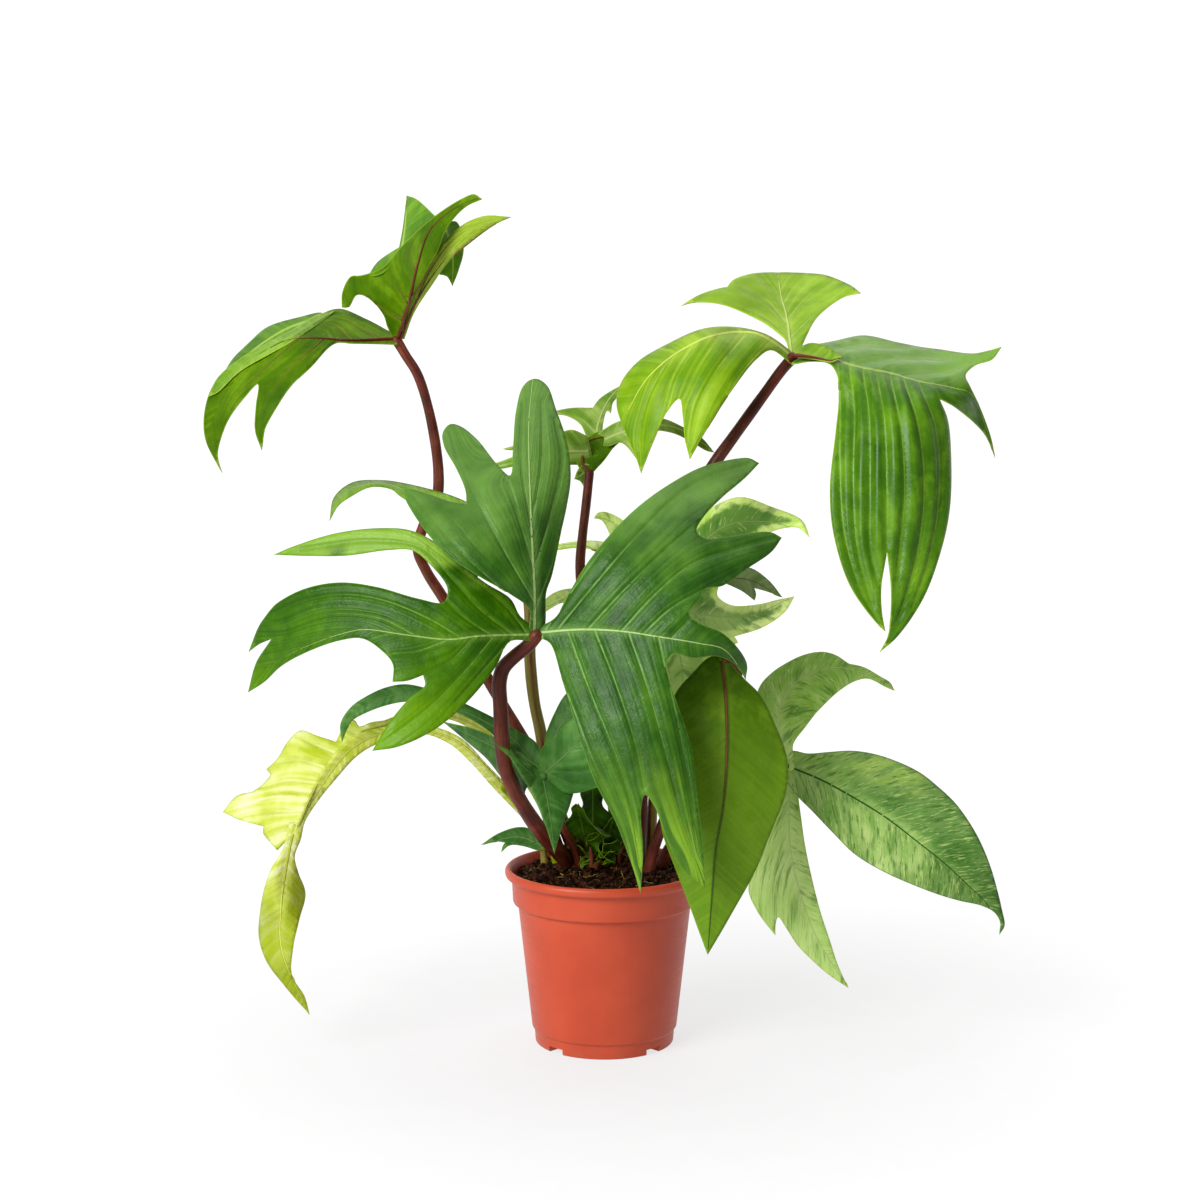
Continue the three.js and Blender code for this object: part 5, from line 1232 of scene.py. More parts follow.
def line_mesh(lobe, sheet, line, radii, sides, slot):
    """A raised rib or vein, nearly sunk in the underside of a lobe. Nothing is made of a
    line that misses the sheet."""
    gaps = np.linalg.norm(line[:, None] - sheet["flat_points"][None], axis=2)
    nearest = gaps.argmin(axis=1)[gaps.min(axis=1) < LEAST_BETWEEN_LINES]
    if len(nearest):
        nearest = nearest[np.concatenate([[True], np.diff(nearest) != 0])]
    jumps = np.linalg.norm(np.diff(sheet["flat_points"][nearest], axis=0), axis=1) > LONGEST_GAP
    if jumps.any():
        nearest = nearest[np.flatnonzero(jumps)[-1] + 1:]
    if len(nearest) < 4:
        return []
    radius = np.linspace(radii[0], radii[1], len(nearest))
    below = 1 if lobe.get("under") else -1
    sunk = below * (radius - RIB_SHOWS)
    path = sheet["middle"][nearest] + sheet["normals"][nearest] * sunk[:, None]
    return [tube_mesh(path, radius, sides, slot)]


def leaf_parts(data, pairs, spacing=SPACING):
    """The sheets, ribs and veins of a leaf with so many pairs of (upper side, underside)
    paints. The ribs' paint comes after them."""
    parts = []
    rib_slot = 2 * pairs
    for i, lobe in enumerate(data["lobes"]):
        lobe.setdefault("spacing", spacing)
        sheet = lobe_mesh(lobe, i)
        parts.append(sheet)
        thick = lobe.get("rib_radius", 1.0)
        rib, veins = lobe_lines(lobe)
        shown = rib[:round(lobe.get("shows", 1) * len(rib))]
        parts += line_mesh(lobe, sheet, shown, (thick, RIB_TIP), RIB_SIDES, rib_slot)
        for vein in veins:
            parts += line_mesh(lobe, sheet, vein, (0.38 * thick, VEIN_TIP), VEIN_SIDES, rib_slot)
    if data.get("green_knob"):
        parts.append(knob_mesh(data["knob"]))
    return parts


def knob_mesh(knob):
    """The leaf's own round joint, where its lobes meet over the end of its stalk."""
    turns = np.linspace(-1.5, 1.5, 9)
    depth = knob["y"] - 0.5 + 0.55 * knob["radius"] * np.sin(turns)
    path = place(np.column_stack([np.full(9, knob["x"]), depth, np.full(9, knob["z"])]))
    return tube_mesh(path, KNOB_SHARE * knob["radius"] * np.cos(turns), STALK_SIDES, 0)


def stem_mesh(data, slot=0):
    """A stalk in true mm: wider at its foot and just below its leaf, with a round end."""
    path = place(curve_through(data["path"], STALK_STEP))
    lengths = lengths_along(path)
    foot, top = data["radii"]
    radii = foot + (top - foot) * lengths / lengths[-1]
    radii = radii * (1 + 0.22 * np.exp(-(lengths - 12) / 16) * (lengths > 0))
    radii = np.minimum(radii, foot * WIDEST_FOOT)
    radii = radii * (1 + 0.03 * np.sin(lengths / 17 + foot) + 0.02 * np.sin(lengths / 5.3))
    if "knob" in data and not data.get("green_knob"):
        swell = np.exp(-((lengths[-1] - lengths) / KNOB_REACH) ** 2)
        radii = radii + (KNOB_SHARE * data["knob"]["radius"] - top) * swell
    tip = path[-1] - path[-2]
    tip /= np.linalg.norm(tip)
    turns = np.linspace(0.2, 1.45, 6)
    path = np.vstack([path, path[-1] + radii[-1] * np.sin(turns)[:, None] * tip])
    radii = np.concatenate([radii, radii[-1] * np.cos(turns)])
    return tube_mesh(path, radii, STALK_SIDES, slot)


# Materials

def srgb(red, green, blue):
    """The paint that looks like this colour where the studio's light falls fully on it."""
    def linear(value):
        value /= 255
        return (value / 12.92 if value <= 0.04045 else ((value + 0.055) / 1.055) ** 2.4) / LIGHT
    return (linear(red), linear(green), linear(blue), 1)


class Paint:
    """A procedural material put together from node sockets. Lengths are in mm, and a
    colour is three numbers from 0 to 255, as it looks."""

    def __init__(self, name, roughness, specular):
        self.material = bpy.data.materials.new(name)
        self.material.use_nodes = True
        self.tree = self.material.node_tree
        self.surface = self.tree.nodes["Principled BSDF"]
        self.surface.inputs["Roughness"].default_value = roughness
        self.surface.inputs["Specular IOR Level"].default_value = specular

    def node(self, kind, **settings):
        made = self.tree.nodes.new("ShaderNode" + kind)
        for key, value in settings.items():
            setattr(made, key, value)
        return made

    def feed(self, socket, value):
        """value is another node's output, a number or a colour."""
        if isinstance(value, bpy.types.NodeSocket):
            self.tree.links.new(value, socket)
        elif isinstance(value, tuple):
            socket.default_value = srgb(*value)
        else:
            socket.default_value = value

    def math(self, operation, *values):
        made = self.node("Math", operation=operation)
        for socket, value in zip(made.inputs, values):
            self.feed(socket, value)
        return made.outputs[0]

    def times(self, first, second):
        return self.math("MULTIPLY", first, second)

    def total(self, *terms):
        """The sum of (value, weight) terms."""
        made = self.times(*terms[0])
        for value, weight in terms[1:]:
            made = self.math("ADD", made, self.times(value, weight))
        return made

    def attribute(self, name):
        """The three values of a vertex attribute."""
        return self.split(self.node("Attribute", attribute_name=name).outputs["Vector"])

    def split(self, vector):
        made = self.node("SeparateXYZ")
        self.feed(made.inputs[0], vector)
        return made.outputs[0], made.outputs[1], made.outputs[2]

    def vector(self, x, y, z):
        made = self.node("CombineXYZ")
        for socket, value in zip(made.inputs, (x, y, z)):
            self.feed(socket, value)
        return made.outputs[0]

    def scaled(self, values, scales):
        """A vector of three values, each times its own scale."""
        return self.vector(*[self.times(value, scale) for value, scale in zip(values, scales)])

    def place(self):
        """The place on the object, in mm."""
        made = self.node("VectorMath", operation="SCALE")
        self.feed(made.inputs[0], self.node("TexCoord").outputs["Object"])
        made.inputs["Scale"].default_value = 1 / MM
        return made.outputs[0]

    def noise(self, vector, scale, detail=3, rough=0.55, warp=0.0):
        made = self.node("TexNoise")
        self.feed(made.inputs["Vector"], vector)
        made.inputs["Scale"].default_value = scale
        made.inputs["Detail"].default_value = detail
        made.inputs["Roughness"].default_value = rough
        made.inputs["Distortion"].default_value = warp
        return made.outputs["Fac"]

    def ease(self, value, start, end, first=0.0, last=1.0):
        """first below start, last above end, and a smooth step between."""
        made = self.node("MapRange", interpolation_type="SMOOTHSTEP")
        for socket, number in zip(made.inputs, (value, start, end, first, last)):
            self.feed(socket, number)
        return made.outputs[0]

    def mix(self, share, first, second):
        made = self.node("Mix", data_type="RGBA")
        self.feed(made.inputs[0], share)
        self.feed(made.inputs[6], first)
        self.feed(made.inputs[7], second)
        return made.outputs[2]

    def ramp(self, value, places, shades):
        """One shade after the other as value rises from place to place."""
        made = self.node("ValToRGB")
        self.feed(made.inputs[0], value)
        points = made.color_ramp.elements
        while len(points) < len(places):
            points.new(0.5)
        for point, place, shade in zip(points, places, shades):
            point.position = place
            point.color = shade
        return made.outputs[0]

    def tones(self, value, places, colours):
        return self.ramp(value, places, [srgb(*colour) for colour in colours])

    def finish(self, colour, height, roughness=None):
        """The material itself. height is its fine relief, in mm."""
        self.feed(self.surface.inputs["Base Color"], colour)
        bump = self.node("Bump")
        bump.inputs["Distance"].default_value = MM
        self.feed(bump.inputs["Height"], height)
        self.feed(self.surface.inputs["Normal"], bump.outputs[0])
        if roughness is not None:
            self.feed(self.surface.inputs["Roughness"], roughness)
        return self.material


class LeafPaint(Paint):
    """A leaf's paint: mottled tones first, then tints, veins, edge and rib over them."""

    def __init__(self, name, shine, specular, tones, streaks):
        super().__init__(name, shine, specular)
        self.run, self.across, self.stretch = self.attribute("run")
        self.to_edge, self.to_rib, self.to_vein = self.attribute("rim")
        self.rib_share, self.vein_along, self.tone = self.attribute("share")
        self.spot = self.place()
        self.streak = self.noise(self.along_veins(0.22, 0.02), 1.0, rough=0.5)
        self.wide = self.noise(self.spot, PATCH_SCALE, detail=2)
        self.blotch = self.noise(self.spot, 4.2 * PATCH_SCALE, detail=4, rough=0.6)
        value = self.total((self.streak, streaks), (self.wide, 0.62 - 0.5 * streaks),
                           (self.blotch, 0.38 - 0.5 * streaks))
        self.colour = self.tones(value, (0.38, 0.5, 0.64), tones)

    def along_veins(self, wide, long):
        """A vector for patterns drawn out along the veins."""
        return self.scaled((self.run, self.across, self.tone), (wide, long, TONE_SPREAD))

    def cover(self, mask, tint):
        self.colour = self.mix(mask, self.colour, tint)

    def tint_half(self, tint, side, share):
        """A tint on one side of the rib, stronger toward the tip."""
        mask = self.ease(self.times(self.across, side), -1.0, 7.0)
        toward_tip = self.ease(self.math("ADD", self.rib_share, self.blotch), 0.6, 0.95, 0.5, 1.0)
        self.cover(self.times(self.times(mask, toward_tip), share), tint)

    def tint_core(self, tint, start, end, share):
        """A tint away from the edge, from start to end in mm."""
        depth = self.math("MULTIPLY_ADD", self.blotch, 9.0, self.math("SUBTRACT", self.to_edge, 4.5))
        self.cover(self.ease(depth, start, end, 0.0, share), tint)

    def tint_levels(self, levels):
        """Tints that fade from one height to another, partly broken up into stripes."""
        if not levels:
            return
        height = self.math("MULTIPLY_ADD", self.wide, 60, self.split(self.spot)[2])
        stripes = self.noise(self.along_veins(0.13, 0.012), 1.0, detail=2, rough=0.5)
        for tint, start, end, share, striped in levels:
            mask = self.ease(height, start + 30, end + 30, share, 0.0)
            self.cover(self.times(mask, self.ease(stripes, 0.42, 0.56, 1.0 - striped, 1.0)), tint)

    def tint_clouds(self, clouds):
        """Soft blots, longer along the veins."""
        for k, (tint, start, end, share) in enumerate(clouds):
            blots = self.noise(self.along_veins(0.10, 0.045 + 0.01 * k), 1.0, detail=5, rough=0.62, warp=0.3)
            self.cover(self.times(self.ease(blots, start, end), share), tint)

    def tint_dashes(self, dashes):
        """Fine dashes along the veins."""
        for k, (tint, start, end, share) in enumerate(dashes):
            strokes = self.noise(self.along_veins(0.62 + 0.3 * k, 0.14 + 0.03 * k), 1.0, warp=0.2)
            self.cover(self.times(self.ease(strokes, start, end), share), tint)

    def draw_veins(self, vein, light, share, fade):
        """Thin parallel veins, then the side veins and the pale band on both sides of them."""
        self.thin = self.times(self.math("PINGPONG", self.run, 2.2), self.stretch)
        self.cover(self.times(self.ease(self.thin, 0.1, 0.5, 1.0, 0.0), 0.05 * share), vein)
        width = self.math("MULTIPLY_ADD", self.vein_along, -0.65 * VEIN_WIDTH, VEIN_WIDTH)
        mask = self.ease(self.math("DIVIDE", self.to_vein, width), 0.5, 1.5, 1.0, 0.0)
        mask = self.times(mask, self.ease(self.vein_along, *fade, 1.0, 0.08))
        faint = self.ease(self.noise(self.spot, 0.16, detail=2), 0.35, 0.6, 0.45, 1.0)
        self.cover(self.times(self.times(mask, faint), share), vein)
        self.cover(self.times(self.ease(self.to_vein, 0.3, 3.2, 1.0, 0.0), 0.15 * share), light)

    def draw_rib_band(self, vein, share):
        """A soft band of the veins' colour along the rib."""
        near = self.ease(self.to_rib, 0.8, 5.0, 0.5, 0.0)
        near = self.times(near, self.ease(self.rib_share, 0.1, 0.8, 1.0, 0.1))
        self.cover(self.times(near, share), vein)

    def draw_margin(self, margin, share):
        self.cover(self.times(self.ease(self.to_edge, 0.15, 0.8, 1.0, 0.0), share), margin)

    def draw_rib(self, rib, width):
        """The rib, which narrows toward the tip."""
        narrowing = self.math("MULTIPLY_ADD", self.rib_share, -0.75 * width, width)
        narrowing = self.math("MAXIMUM", narrowing, 0.02)
        self.rib = self.ease(self.math("DIVIDE", self.to_rib, narrowing), 0.55, 1.15, 1.0, 0.0)
        self.cover(self.rib, rib)

    def relief(self, bumps):
        """Thin veins, side veins, streaks, pores, blots and the rib as heights in mm."""
        pores = self.noise(self.spot, 1.1)
        heights = [(self.ease(self.thin, 0.0, 1.3), 0.07), (self.ease(self.to_vein, 0.0, 2.4), 0.28),
                   (self.streak, 0.3), (pores, 0.08), (self.blotch, 0.6), (self.rib, 0.35)]
        return self.total(*[(value, weight * bumps) for value, weight in heights])


def leaf_paint(name, tones, vein, rib, margin, streaks=0.5, half=None, core=None, levels=(), clouds=(),
               dashes=(), vein_share=0.6, rib_width=1.0, margin_share=0.6, shine=0.38, specular=0.09,
               bumps=1.0, fade=(0.1, 0.8), through=0.0):
    """tones is dark, middle and light. half is (tint, side, share), core (tint, start, end,
    share), levels [(tint, start, end, share, striped)], and clouds and dashes [(tint, start,
    end, share)]. fade says from where to where on their way the side veins fade out. through
    is a painted glow: the leaf gives off its own colour as light, which stands for the light
    that comes through a thin pale leaf from behind."""
    paint = LeafPaint(name, shine, specular, tones, streaks)
    if half:
        paint.tint_half(*half)
    if core:
        paint.tint_core(*core)
    paint.tint_levels(levels)
    paint.tint_clouds(clouds)
    paint.tint_dashes(dashes)
    paint.draw_veins(vein, tones[2], vein_share, fade)
    paint.draw_rib_band(vein, vein_share)
    paint.draw_margin(margin, margin_share)
    paint.draw_rib(rib, rib_width)
    # Painted glow: the leaf gives off its own colour as light, standing for light that comes through it.
    if through:
        paint.feed(paint.surface.inputs["Emission Color"], paint.colour)
        paint.surface.inputs["Emission Strength"].default_value = through
    rough = paint.ease(paint.noise(paint.spot, 0.09), 0.3, 0.7, shine - 0.06, shine + 0.10)
    return paint.finish(paint.colour, paint.relief(bumps), rough)


def stem_paint(name, tones, stripe, stripe_share, spread=0.52, foot=None):
    """A smooth stalk: tones along its length, and streaks that run with it. foot is
    (colour, start, end): its colour at its far end, from a height to another."""
    paint = Paint(name, 0.42, 0.2)
    run = paint.attribute("run")
    spot = paint.place()
    turned = paint.scaled(run, (0.02, 1.6, 1.6))
    streak = paint.noise(turned, 1.5, detail=4, rough=0.6)
    cloud = paint.noise(spot, 0.06)
    colour = paint.tones(paint.total((streak, 0.55), (cloud, 0.45)), (0.36, 0.5, 0.66), tones)
    green = paint.ease(paint.noise(turned, 0.8, detail=2), spread, spread + 0.14)
    colour = paint.mix(paint.times(green, stripe_share), colour, stripe)
    if foot:
        tint, start, end = foot
        height = paint.split(spot)[2]
        colour = paint.mix(paint.ease(height, start, end, 1.0, 0.0), colour, tint)
    freckle = paint.ease(paint.noise(spot, 2.4, detail=2), 0.62, 0.72)
    colour = paint.mix(paint.times(freckle, 0.35), colour, tones[2])
    skin = paint.noise(paint.scaled(run, (0.35, 5.0, 5.0)), 1.0, detail=4)
    relief = paint.total((streak, 0.35), (skin, 0.22))
    return paint.finish(colour, relief, paint.ease(cloud, 0.3, 0.7, 0.35, 0.54))


def pot_paint():
    """Matt terracotta plastic with a fine moulded grain, faint rings and a little dust."""
    paint = Paint("pot", 0.42, 0.3)
    spot = paint.place()
    x, y, height = paint.split(spot)
    cloud = paint.noise(spot, 0.022)
    colour = paint.tones(cloud, (0.3, 0.5, 0.7), ((191, 69, 38), (199, 74, 41), (207, 81, 47)))
    speck = paint.ease(paint.noise(spot, 1.6, detail=2), 0.66, 0.74)
    colour = paint.mix(paint.times(speck, 0.25), colour, (150, 58, 38))
    dust = paint.times(paint.ease(height, 0.0, 9.0, 1.0, 0.0), paint.ease(paint.noise(spot, 0.2), 0.4, 0.7))
    colour = paint.mix(paint.times(dust, 0.22), colour, (150, 110, 90))
    rings = paint.noise(paint.vector(0.0, 0.0, height), 0.9)
    grain = paint.noise(spot, 3.2, detail=2)
    scratch = paint.noise(paint.scaled((x, y, height), (0.08, 0.08, 0.9)), 1.0, detail=5, rough=0.7)
    relief = paint.total((rings, 0.05), (grain, 0.022), (scratch, 0.03))
    return paint.finish(colour, relief, paint.ease(scratch, 0.3, 0.75, 0.36, 0.50))


def soil_paint(name, tones, scale):
    """Crumbs and chips: the tone attribute sets each one's own shade."""
    paint = Paint(name, 0.9, 0.08)
    tone = paint.attribute("share")[2]
    grain = paint.noise(paint.place(), scale, detail=6, rough=0.7)
    fibre = paint.noise(paint.vector(*paint.attribute("run")), 1.2, detail=4)
    value = paint.total((grain, 0.5), (tone, 0.35), (fibre, 0.15))
    colour = paint.tones(value, (0.28, 0.5, 0.75), tones)
    relief = paint.total((grain, 0.8), (fibre, 0.3))
    return paint.finish(colour, relief, paint.ease(grain, 0.3, 0.7, 0.65, 0.95))


# Pot

POT_PROFILE = [
    (0, 0, 0), (41.9, 0, 0.8), (42.5, 8.2, 0.5), (43.3, 8.9, 0.5), (43.9, 9.6, 0.6), (52.2, 84.6, 0.8),
    (53.2, 85.2, 0.5), (55.3, 86.3, 0.9), (56.0, 100.4, 1.0), (57.2, 101.6, 0.8), (59.2, 101.7, 0.9),
    (60, 103.0, 1.0), (60.1, 105.6, 1.2), (58.6, 107.2, 1.4), (57.4, 107.1, 0.9), (56.2, 105.6, 1.0),
    (54.6, 101.6, 1.4), (54.0, 87.0, 0.5), (50.6, 86.0, 0.5), (42.4, 11.5, 0.5), (40.4, 5.2, 0.4), (0, 5, 0),
]
POT_SIDES = 144
NOTCH_ANGLES = [-134, -46, 46, 134]
NOTCH_REACH = (22, 45)
NOTCH_WIDTH = 11
NOTCH_TOP = 3.5
DRAIN_REACH = 29
DRAIN_RADIUS = 4
DRAIN_SIDES = 24
DRAIN_TOP = 7
BELOW_POT = -2
SHARP_ANGLE = 38


def rounded(corners):
    """A profile of (radius, z, fillet radius) corners with its corners rounded."""
    points = [np.array(corner[:2], float) for corner in corners]
    made = [points[0]]
    for before, here, after, (_, _, fillet) in zip(points, points[1:], points[2:], corners[1:]):
        back = before - here
        ahead = after - here
        back_length = np.linalg.norm(back)
        ahead_length = np.linalg.norm(ahead)
        reach = min(fillet, 0.45 * back_length, 0.45 * ahead_length)
        start = here + back / back_length * reach
        end = here + ahead / ahead_length * reach
        for t in np.linspace(0, 1, 5):
            made.append((1 - t) ** 2 * start + 2 * t * (1 - t) * here + t ** 2 * end)
    made.append(points[-1])
    return made


def lathe(profile, sides):
    """A closed solid of revolution; the profile starts and ends on the axis."""
    rings = profile[1:-1]
    angles = full_turn(sides)
    points = [(0, 0, profile[0][1]), (0, 0, profile[-1][1])]
    for radius, z in rings:
        points += [(radius * math.cos(a), radius * math.sin(a), z) for a in angles]
    last_ring = 2 + (len(rings) - 1) * sides
    return points, ring_faces(len(rings), sides, 2) + cap_faces(0, 1, 2, last_ring, sides)


def solid_object(name, points, faces):
    mesh = bpy.data.meshes.new(name)
    mesh.from_pydata((np.array(points) * MM).tolist(), [], faces)
    made = bpy.data.objects.new(name, mesh)
    bpy.context.scene.collection.objects.link(made)
    return made


def cut_prism(body, ring, top):
    """Cuts an upright prism over a ring of (x, y) points out of the body's underside."""
    points = [(*corner, z) for z in (BELOW_POT, top) for corner in ring]
    cutter = solid_object("cutter", points, prism_faces(len(ring)))
    cut = body.modifiers.new("cut", "BOOLEAN")
    cut.operation = "DIFFERENCE"
    cut.solver = "EXACT"
    cut.object = cutter
    view = bpy.context.evaluated_depsgraph_get()
    mesh = bpy.data.meshes.new_from_object(body.evaluated_get(view))
    body.modifiers.clear()
    body.data = mesh
    bpy.data.objects.remove(cutter)


def pot():
    body = solid_object("pot_shell", *lathe(rounded(POT_PROFILE), POT_SIDES))
    near, far = NOTCH_REACH
    half = NOTCH_WIDTH / 2
    hole = DRAIN_RADIUS * np.array([[math.cos(a), math.sin(a)] for a in full_turn(DRAIN_SIDES)])
    for angle in NOTCH_ANGLES:
        turn = math.radians(angle)
        along = np.array([math.cos(turn), math.sin(turn)])
        across = np.array([-math.sin(turn), math.cos(turn)])
        corners = ((near, -half), (far, -half), (far, half), (near, half))
        cut_prism(body, [along * reach + across * width for reach, width in corners], NOTCH_TOP)
        cut_prism(body, along * DRAIN_REACH + hole, DRAIN_TOP)
    body.data.polygons.foreach_set("use_smooth", [True] * len(body.data.polygons))
    body.data.set_sharp_from_angle(angle=math.radians(SHARP_ANGLE))
    body.data.materials.clear()
    body.data.materials.append(pot_paint())
    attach(body, "root")
    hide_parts("pot")


# Soil

SOIL_RADIUS = 53.4
SOIL_RINGS = 44
SOIL_SIDES = 150
SOIL_BOTTOM = 92
SOIL_LEVEL = 101
MOUND_HEIGHT = 10
MOUND_RADIUS = 52.3
CHIPS = 1500
CHIPS_REACH = 51.5
FIBRES = 120
FIBRES_REACH = 46
FIBRE_STEPS = 6
SOIL_SEED = 41


def soil_height(x, y, rough=1.0):
    mound = MOUND_HEIGHT * np.maximum(0, 1 - np.hypot(x, y) / MOUND_RADIUS)
    lumps = 0.9 * np.sin(0.29 * x + 1.3) * np.cos(0.23 * y)
    crumbs = np.sin(1.1 * x + 0.7 * y) * np.cos(0.9 * y - 0.5 * x) + 0.7 * np.sin(2.3 * x - 1.9 * y + 0.6)
    return SOIL_LEVEL + mound + lumps + 0.5 * rough * crumbs


def plain_part(points, faces, slot, tone, flat=False):
    """A part whose run follows its own place, so that its grain is its own."""
    points = np.array(points, float)
    share = np.full(points.shape, (0, 0, tone))
    return mesh_part(points, faces, slot, points * 0.6 + 11 * tone, np.full(points.shape, FAR), share, flat)


def turn_about(axis, angle):
    """The matrix of a turn about the x, y or z axis (0, 1 or 2)."""
    first = (axis + 1) % 3
    second = (axis + 2) % 3
    made = np.eye(3)
    made[first, first] = made[second, second] = math.cos(angle)
    made[second, first] = math.sin(angle)
    made[first, second] = -math.sin(angle)
    return made


def chip(rng, x, y, lift):
    """A bark chip: a rough block of eight corners."""
    size = np.array([rng.uniform(1.4, 3.6), rng.uniform(0.7, 1.6), rng.uniform(0.4, 0.9)])
    corners = np.array([(a, b, c) for c in (-1, 1) for a, b in ((-1, -1), (1, -1), (1, 1), (-1, 1))], float)
    corners *= [[rng.uniform(0.6, 1.1) for _ in range(3)] for _ in corners]
    spin = turn_about(2, rng.uniform(0, 2 * math.pi))
    tilt = turn_about(1, rng.gauss(0, 0.45))
    roll = turn_about(0, rng.gauss(0, 0.5))
    corners = (corners * size) @ (spin @ tilt @ roll).T + [x, y, soil_height(x, y) + lift]
    return plain_part(corners, prism_faces(4), 1, rng.random(), flat=True)


def fibre(rng, x, y):
    """A thin curved fibre that lies on the soil."""
    heading = rng.uniform(0, 2 * math.pi)
    step = rng.uniform(4, 10) / FIBRE_STEPS
    bend = rng.uniform(-0.25, 0.25)
    path = []
    for _ in range(FIBRE_STEPS + 1):
        path.append((x, y, soil_height(x, y, 0.5) + 0.7 + rng.uniform(0, 0.9)))
        x += math.cos(heading) * step
        y += math.sin(heading) * step
        heading += bend
    made = tube_mesh(path, [rng.uniform(0.13, 0.26)] * len(path), 5, 2)
    made["share"][:, 2] = rng.random()
    return made


def soil_body():
    """The soil's lumpy top, with a wall and a floor that the pot hides."""
    angles = full_turn(SOIL_SIDES)
    points = [(0, 0, float(soil_height(0, 0)))]
    for radius in np.linspace(1.2, SOIL_RADIUS, SOIL_RINGS):
        x = radius * np.cos(angles)
        y = radius * np.sin(angles)
        points += list(zip(x, y, soil_height(x, y) - 0.8 * (radius > 52)))
    foot = SOIL_RADIUS - 0.2
    points += [(foot * math.cos(a), foot * math.sin(a), SOIL_BOTTOM) for a in angles]
    points.append((0, 0, SOIL_BOTTOM))
    last_ring = 1 + SOIL_RINGS * SOIL_SIDES
    faces = ring_faces(SOIL_RINGS + 1, SOIL_SIDES, 1)
    faces += cap_faces(0, last_ring + SOIL_SIDES, 1, last_ring, SOIL_SIDES)
    downward = [(face[0], *face[:0:-1]) for face in faces]
    return plain_part(points, downward, 0, 0.3)


def scattered(rng, reach):
    """A place within reach of the pot's axis, anywhere alike."""
    angle = rng.uniform(0, 2 * math.pi)
    radius = reach * math.sqrt(rng.random())
    return radius * math.cos(angle), radius * math.sin(angle)


def soil():
    rng = random.Random(SOIL_SEED)
    parts = [soil_body()]
    parts += [chip(rng, *scattered(rng, CHIPS_REACH), rng.uniform(0.0, 1.0)) for _ in range(CHIPS)]
    parts += [fibre(rng, *scattered(rng, FIBRES_REACH)) for _ in range(FIBRES)]
    paints = [
        soil_paint("soil_crumb", ((8, 3, 1), (24, 11, 5), (48, 26, 14)), 0.9),
        soil_paint("soil_bark", ((14, 5, 1), (42, 20, 8), (96, 56, 28)), 0.7),
        soil_paint("soil_fibre", ((96, 68, 26), (150, 118, 50), (196, 170, 90)), 0.5),
    ]
    build("soil_mix", parts, paints, ["soil"])


# Crown

CROWN_CENTRE = (-4, 2, 100)
CROWN_SEED = 7
SMALL_LEAVES = 36
SHEATHS = 16
SMALL_STALKS = 30

# Heading and tilt in degrees, length and width
SHOOTS = [
    (265, 12, 38, 20), (235, 18, 34, 17), (300, 16, 36, 18), (105, 4, 48, 20), (130, 8, 46, 18),
    (20, 8, 36, 16), (200, 18, 30, 14), (340, 18, 32, 15), (270, 24, 24, 13), (155, 12, 42, 16),
]

# The same, and the foot's place beside the centre
BROAD_SHOOTS = [(252, 14, 56, 30, -5, -5), (96, -10, 58, 28, -3, 3), (292, 10, 44, 24, 3, -5)]


def blade_strip(base, heading, tilt, length, width, bend, cup, slot, tone, lobes=0.0, waves=0.0, rows=16,
                columns=8):
    """A small curved blade that grows from base: heading and tilt in radians, bend is how
    far it turns over along its length, and cup how far its sides are raised."""
    points = []
    run = []
    rim = []
    share = []
    across = np.array([-math.sin(heading), math.cos(heading), 0])
    outward = np.array([math.cos(heading), math.sin(heading), 0])
    at = np.array(base, float)
    lean = tilt
    for i in range(rows + 1):
        u = i / rows
        ahead = outward * math.sin(lean) + [0, 0, math.cos(lean)]
        over = np.cross(ahead, across)
        half = 0.5 * width * (math.sin(math.pi * (0.08 + 0.92 * u) ** 0.85) ** 0.8)
        half *= 1 + lobes * math.sin(u * 15 + 5 * tone)
        for j in range(columns + 1):
            v = 2 * j / columns - 1
            lift = cup * half * v * v + waves * half * abs(v) * math.sin(u * 17 + 3 * v + 9 * tone)
            points.append(at + across * (half * v) + over * lift)
            run.append([u * length + 0.7 * half * abs(v), half * v, 1])
            rim.append([half * (1 - abs(v)) + 0.05, half * abs(v), 3])
            share.append([u, 0, tone])
        at = at + ahead * length / rows
        lean += bend / rows
    wide = columns + 1
    corners = [i * wide + j for i in range(rows) for j in range(columns)]
    quads = [(a, a + 1, a + wide + 1, a + wide) for a in corners]
    points = np.array(points)
    triangles = np.array([(a, b, c) for a, b, c, _ in quads] + [(a, c, d) for a, _, c, d in quads])
    offset = HALF_BLADE * normals_of(points, triangles)
    faces, _ = closed_sheet(quads, triangles, len(points))
    return mesh_part(np.vstack([points + offset, points - offset]), faces, slot, run * 2, rim * 2, share * 2)


def beside_centre(turn, reach, rise=0):
    return np.add(CROWN_CENTRE, (reach * math.cos(turn), reach * math.sin(turn), rise))


def shoot(rng, angle, tilt, length, width):
    turn = math.radians(angle)
    return blade_strip(beside_centre(turn, 1.5), turn, math.radians(tilt), length, 0.95 * width,
                       bend=rng.uniform(0.5, 1.1), cup=-0.3, slot=0, tone=rng.random(), lobes=0.26,
                       waves=0.38, rows=26, columns=12)


def broad_shoot(rng, angle, tilt, length, width, x, y):
    base = np.add(CROWN_CENTRE, (x, y, 2))
    return blade_strip(base, math.radians(angle), math.radians(tilt), length, width, bend=0.5,
                       cup=-0.25, slot=0, tone=rng.random(), lobes=0.4, waves=0.24, rows=40, columns=14)


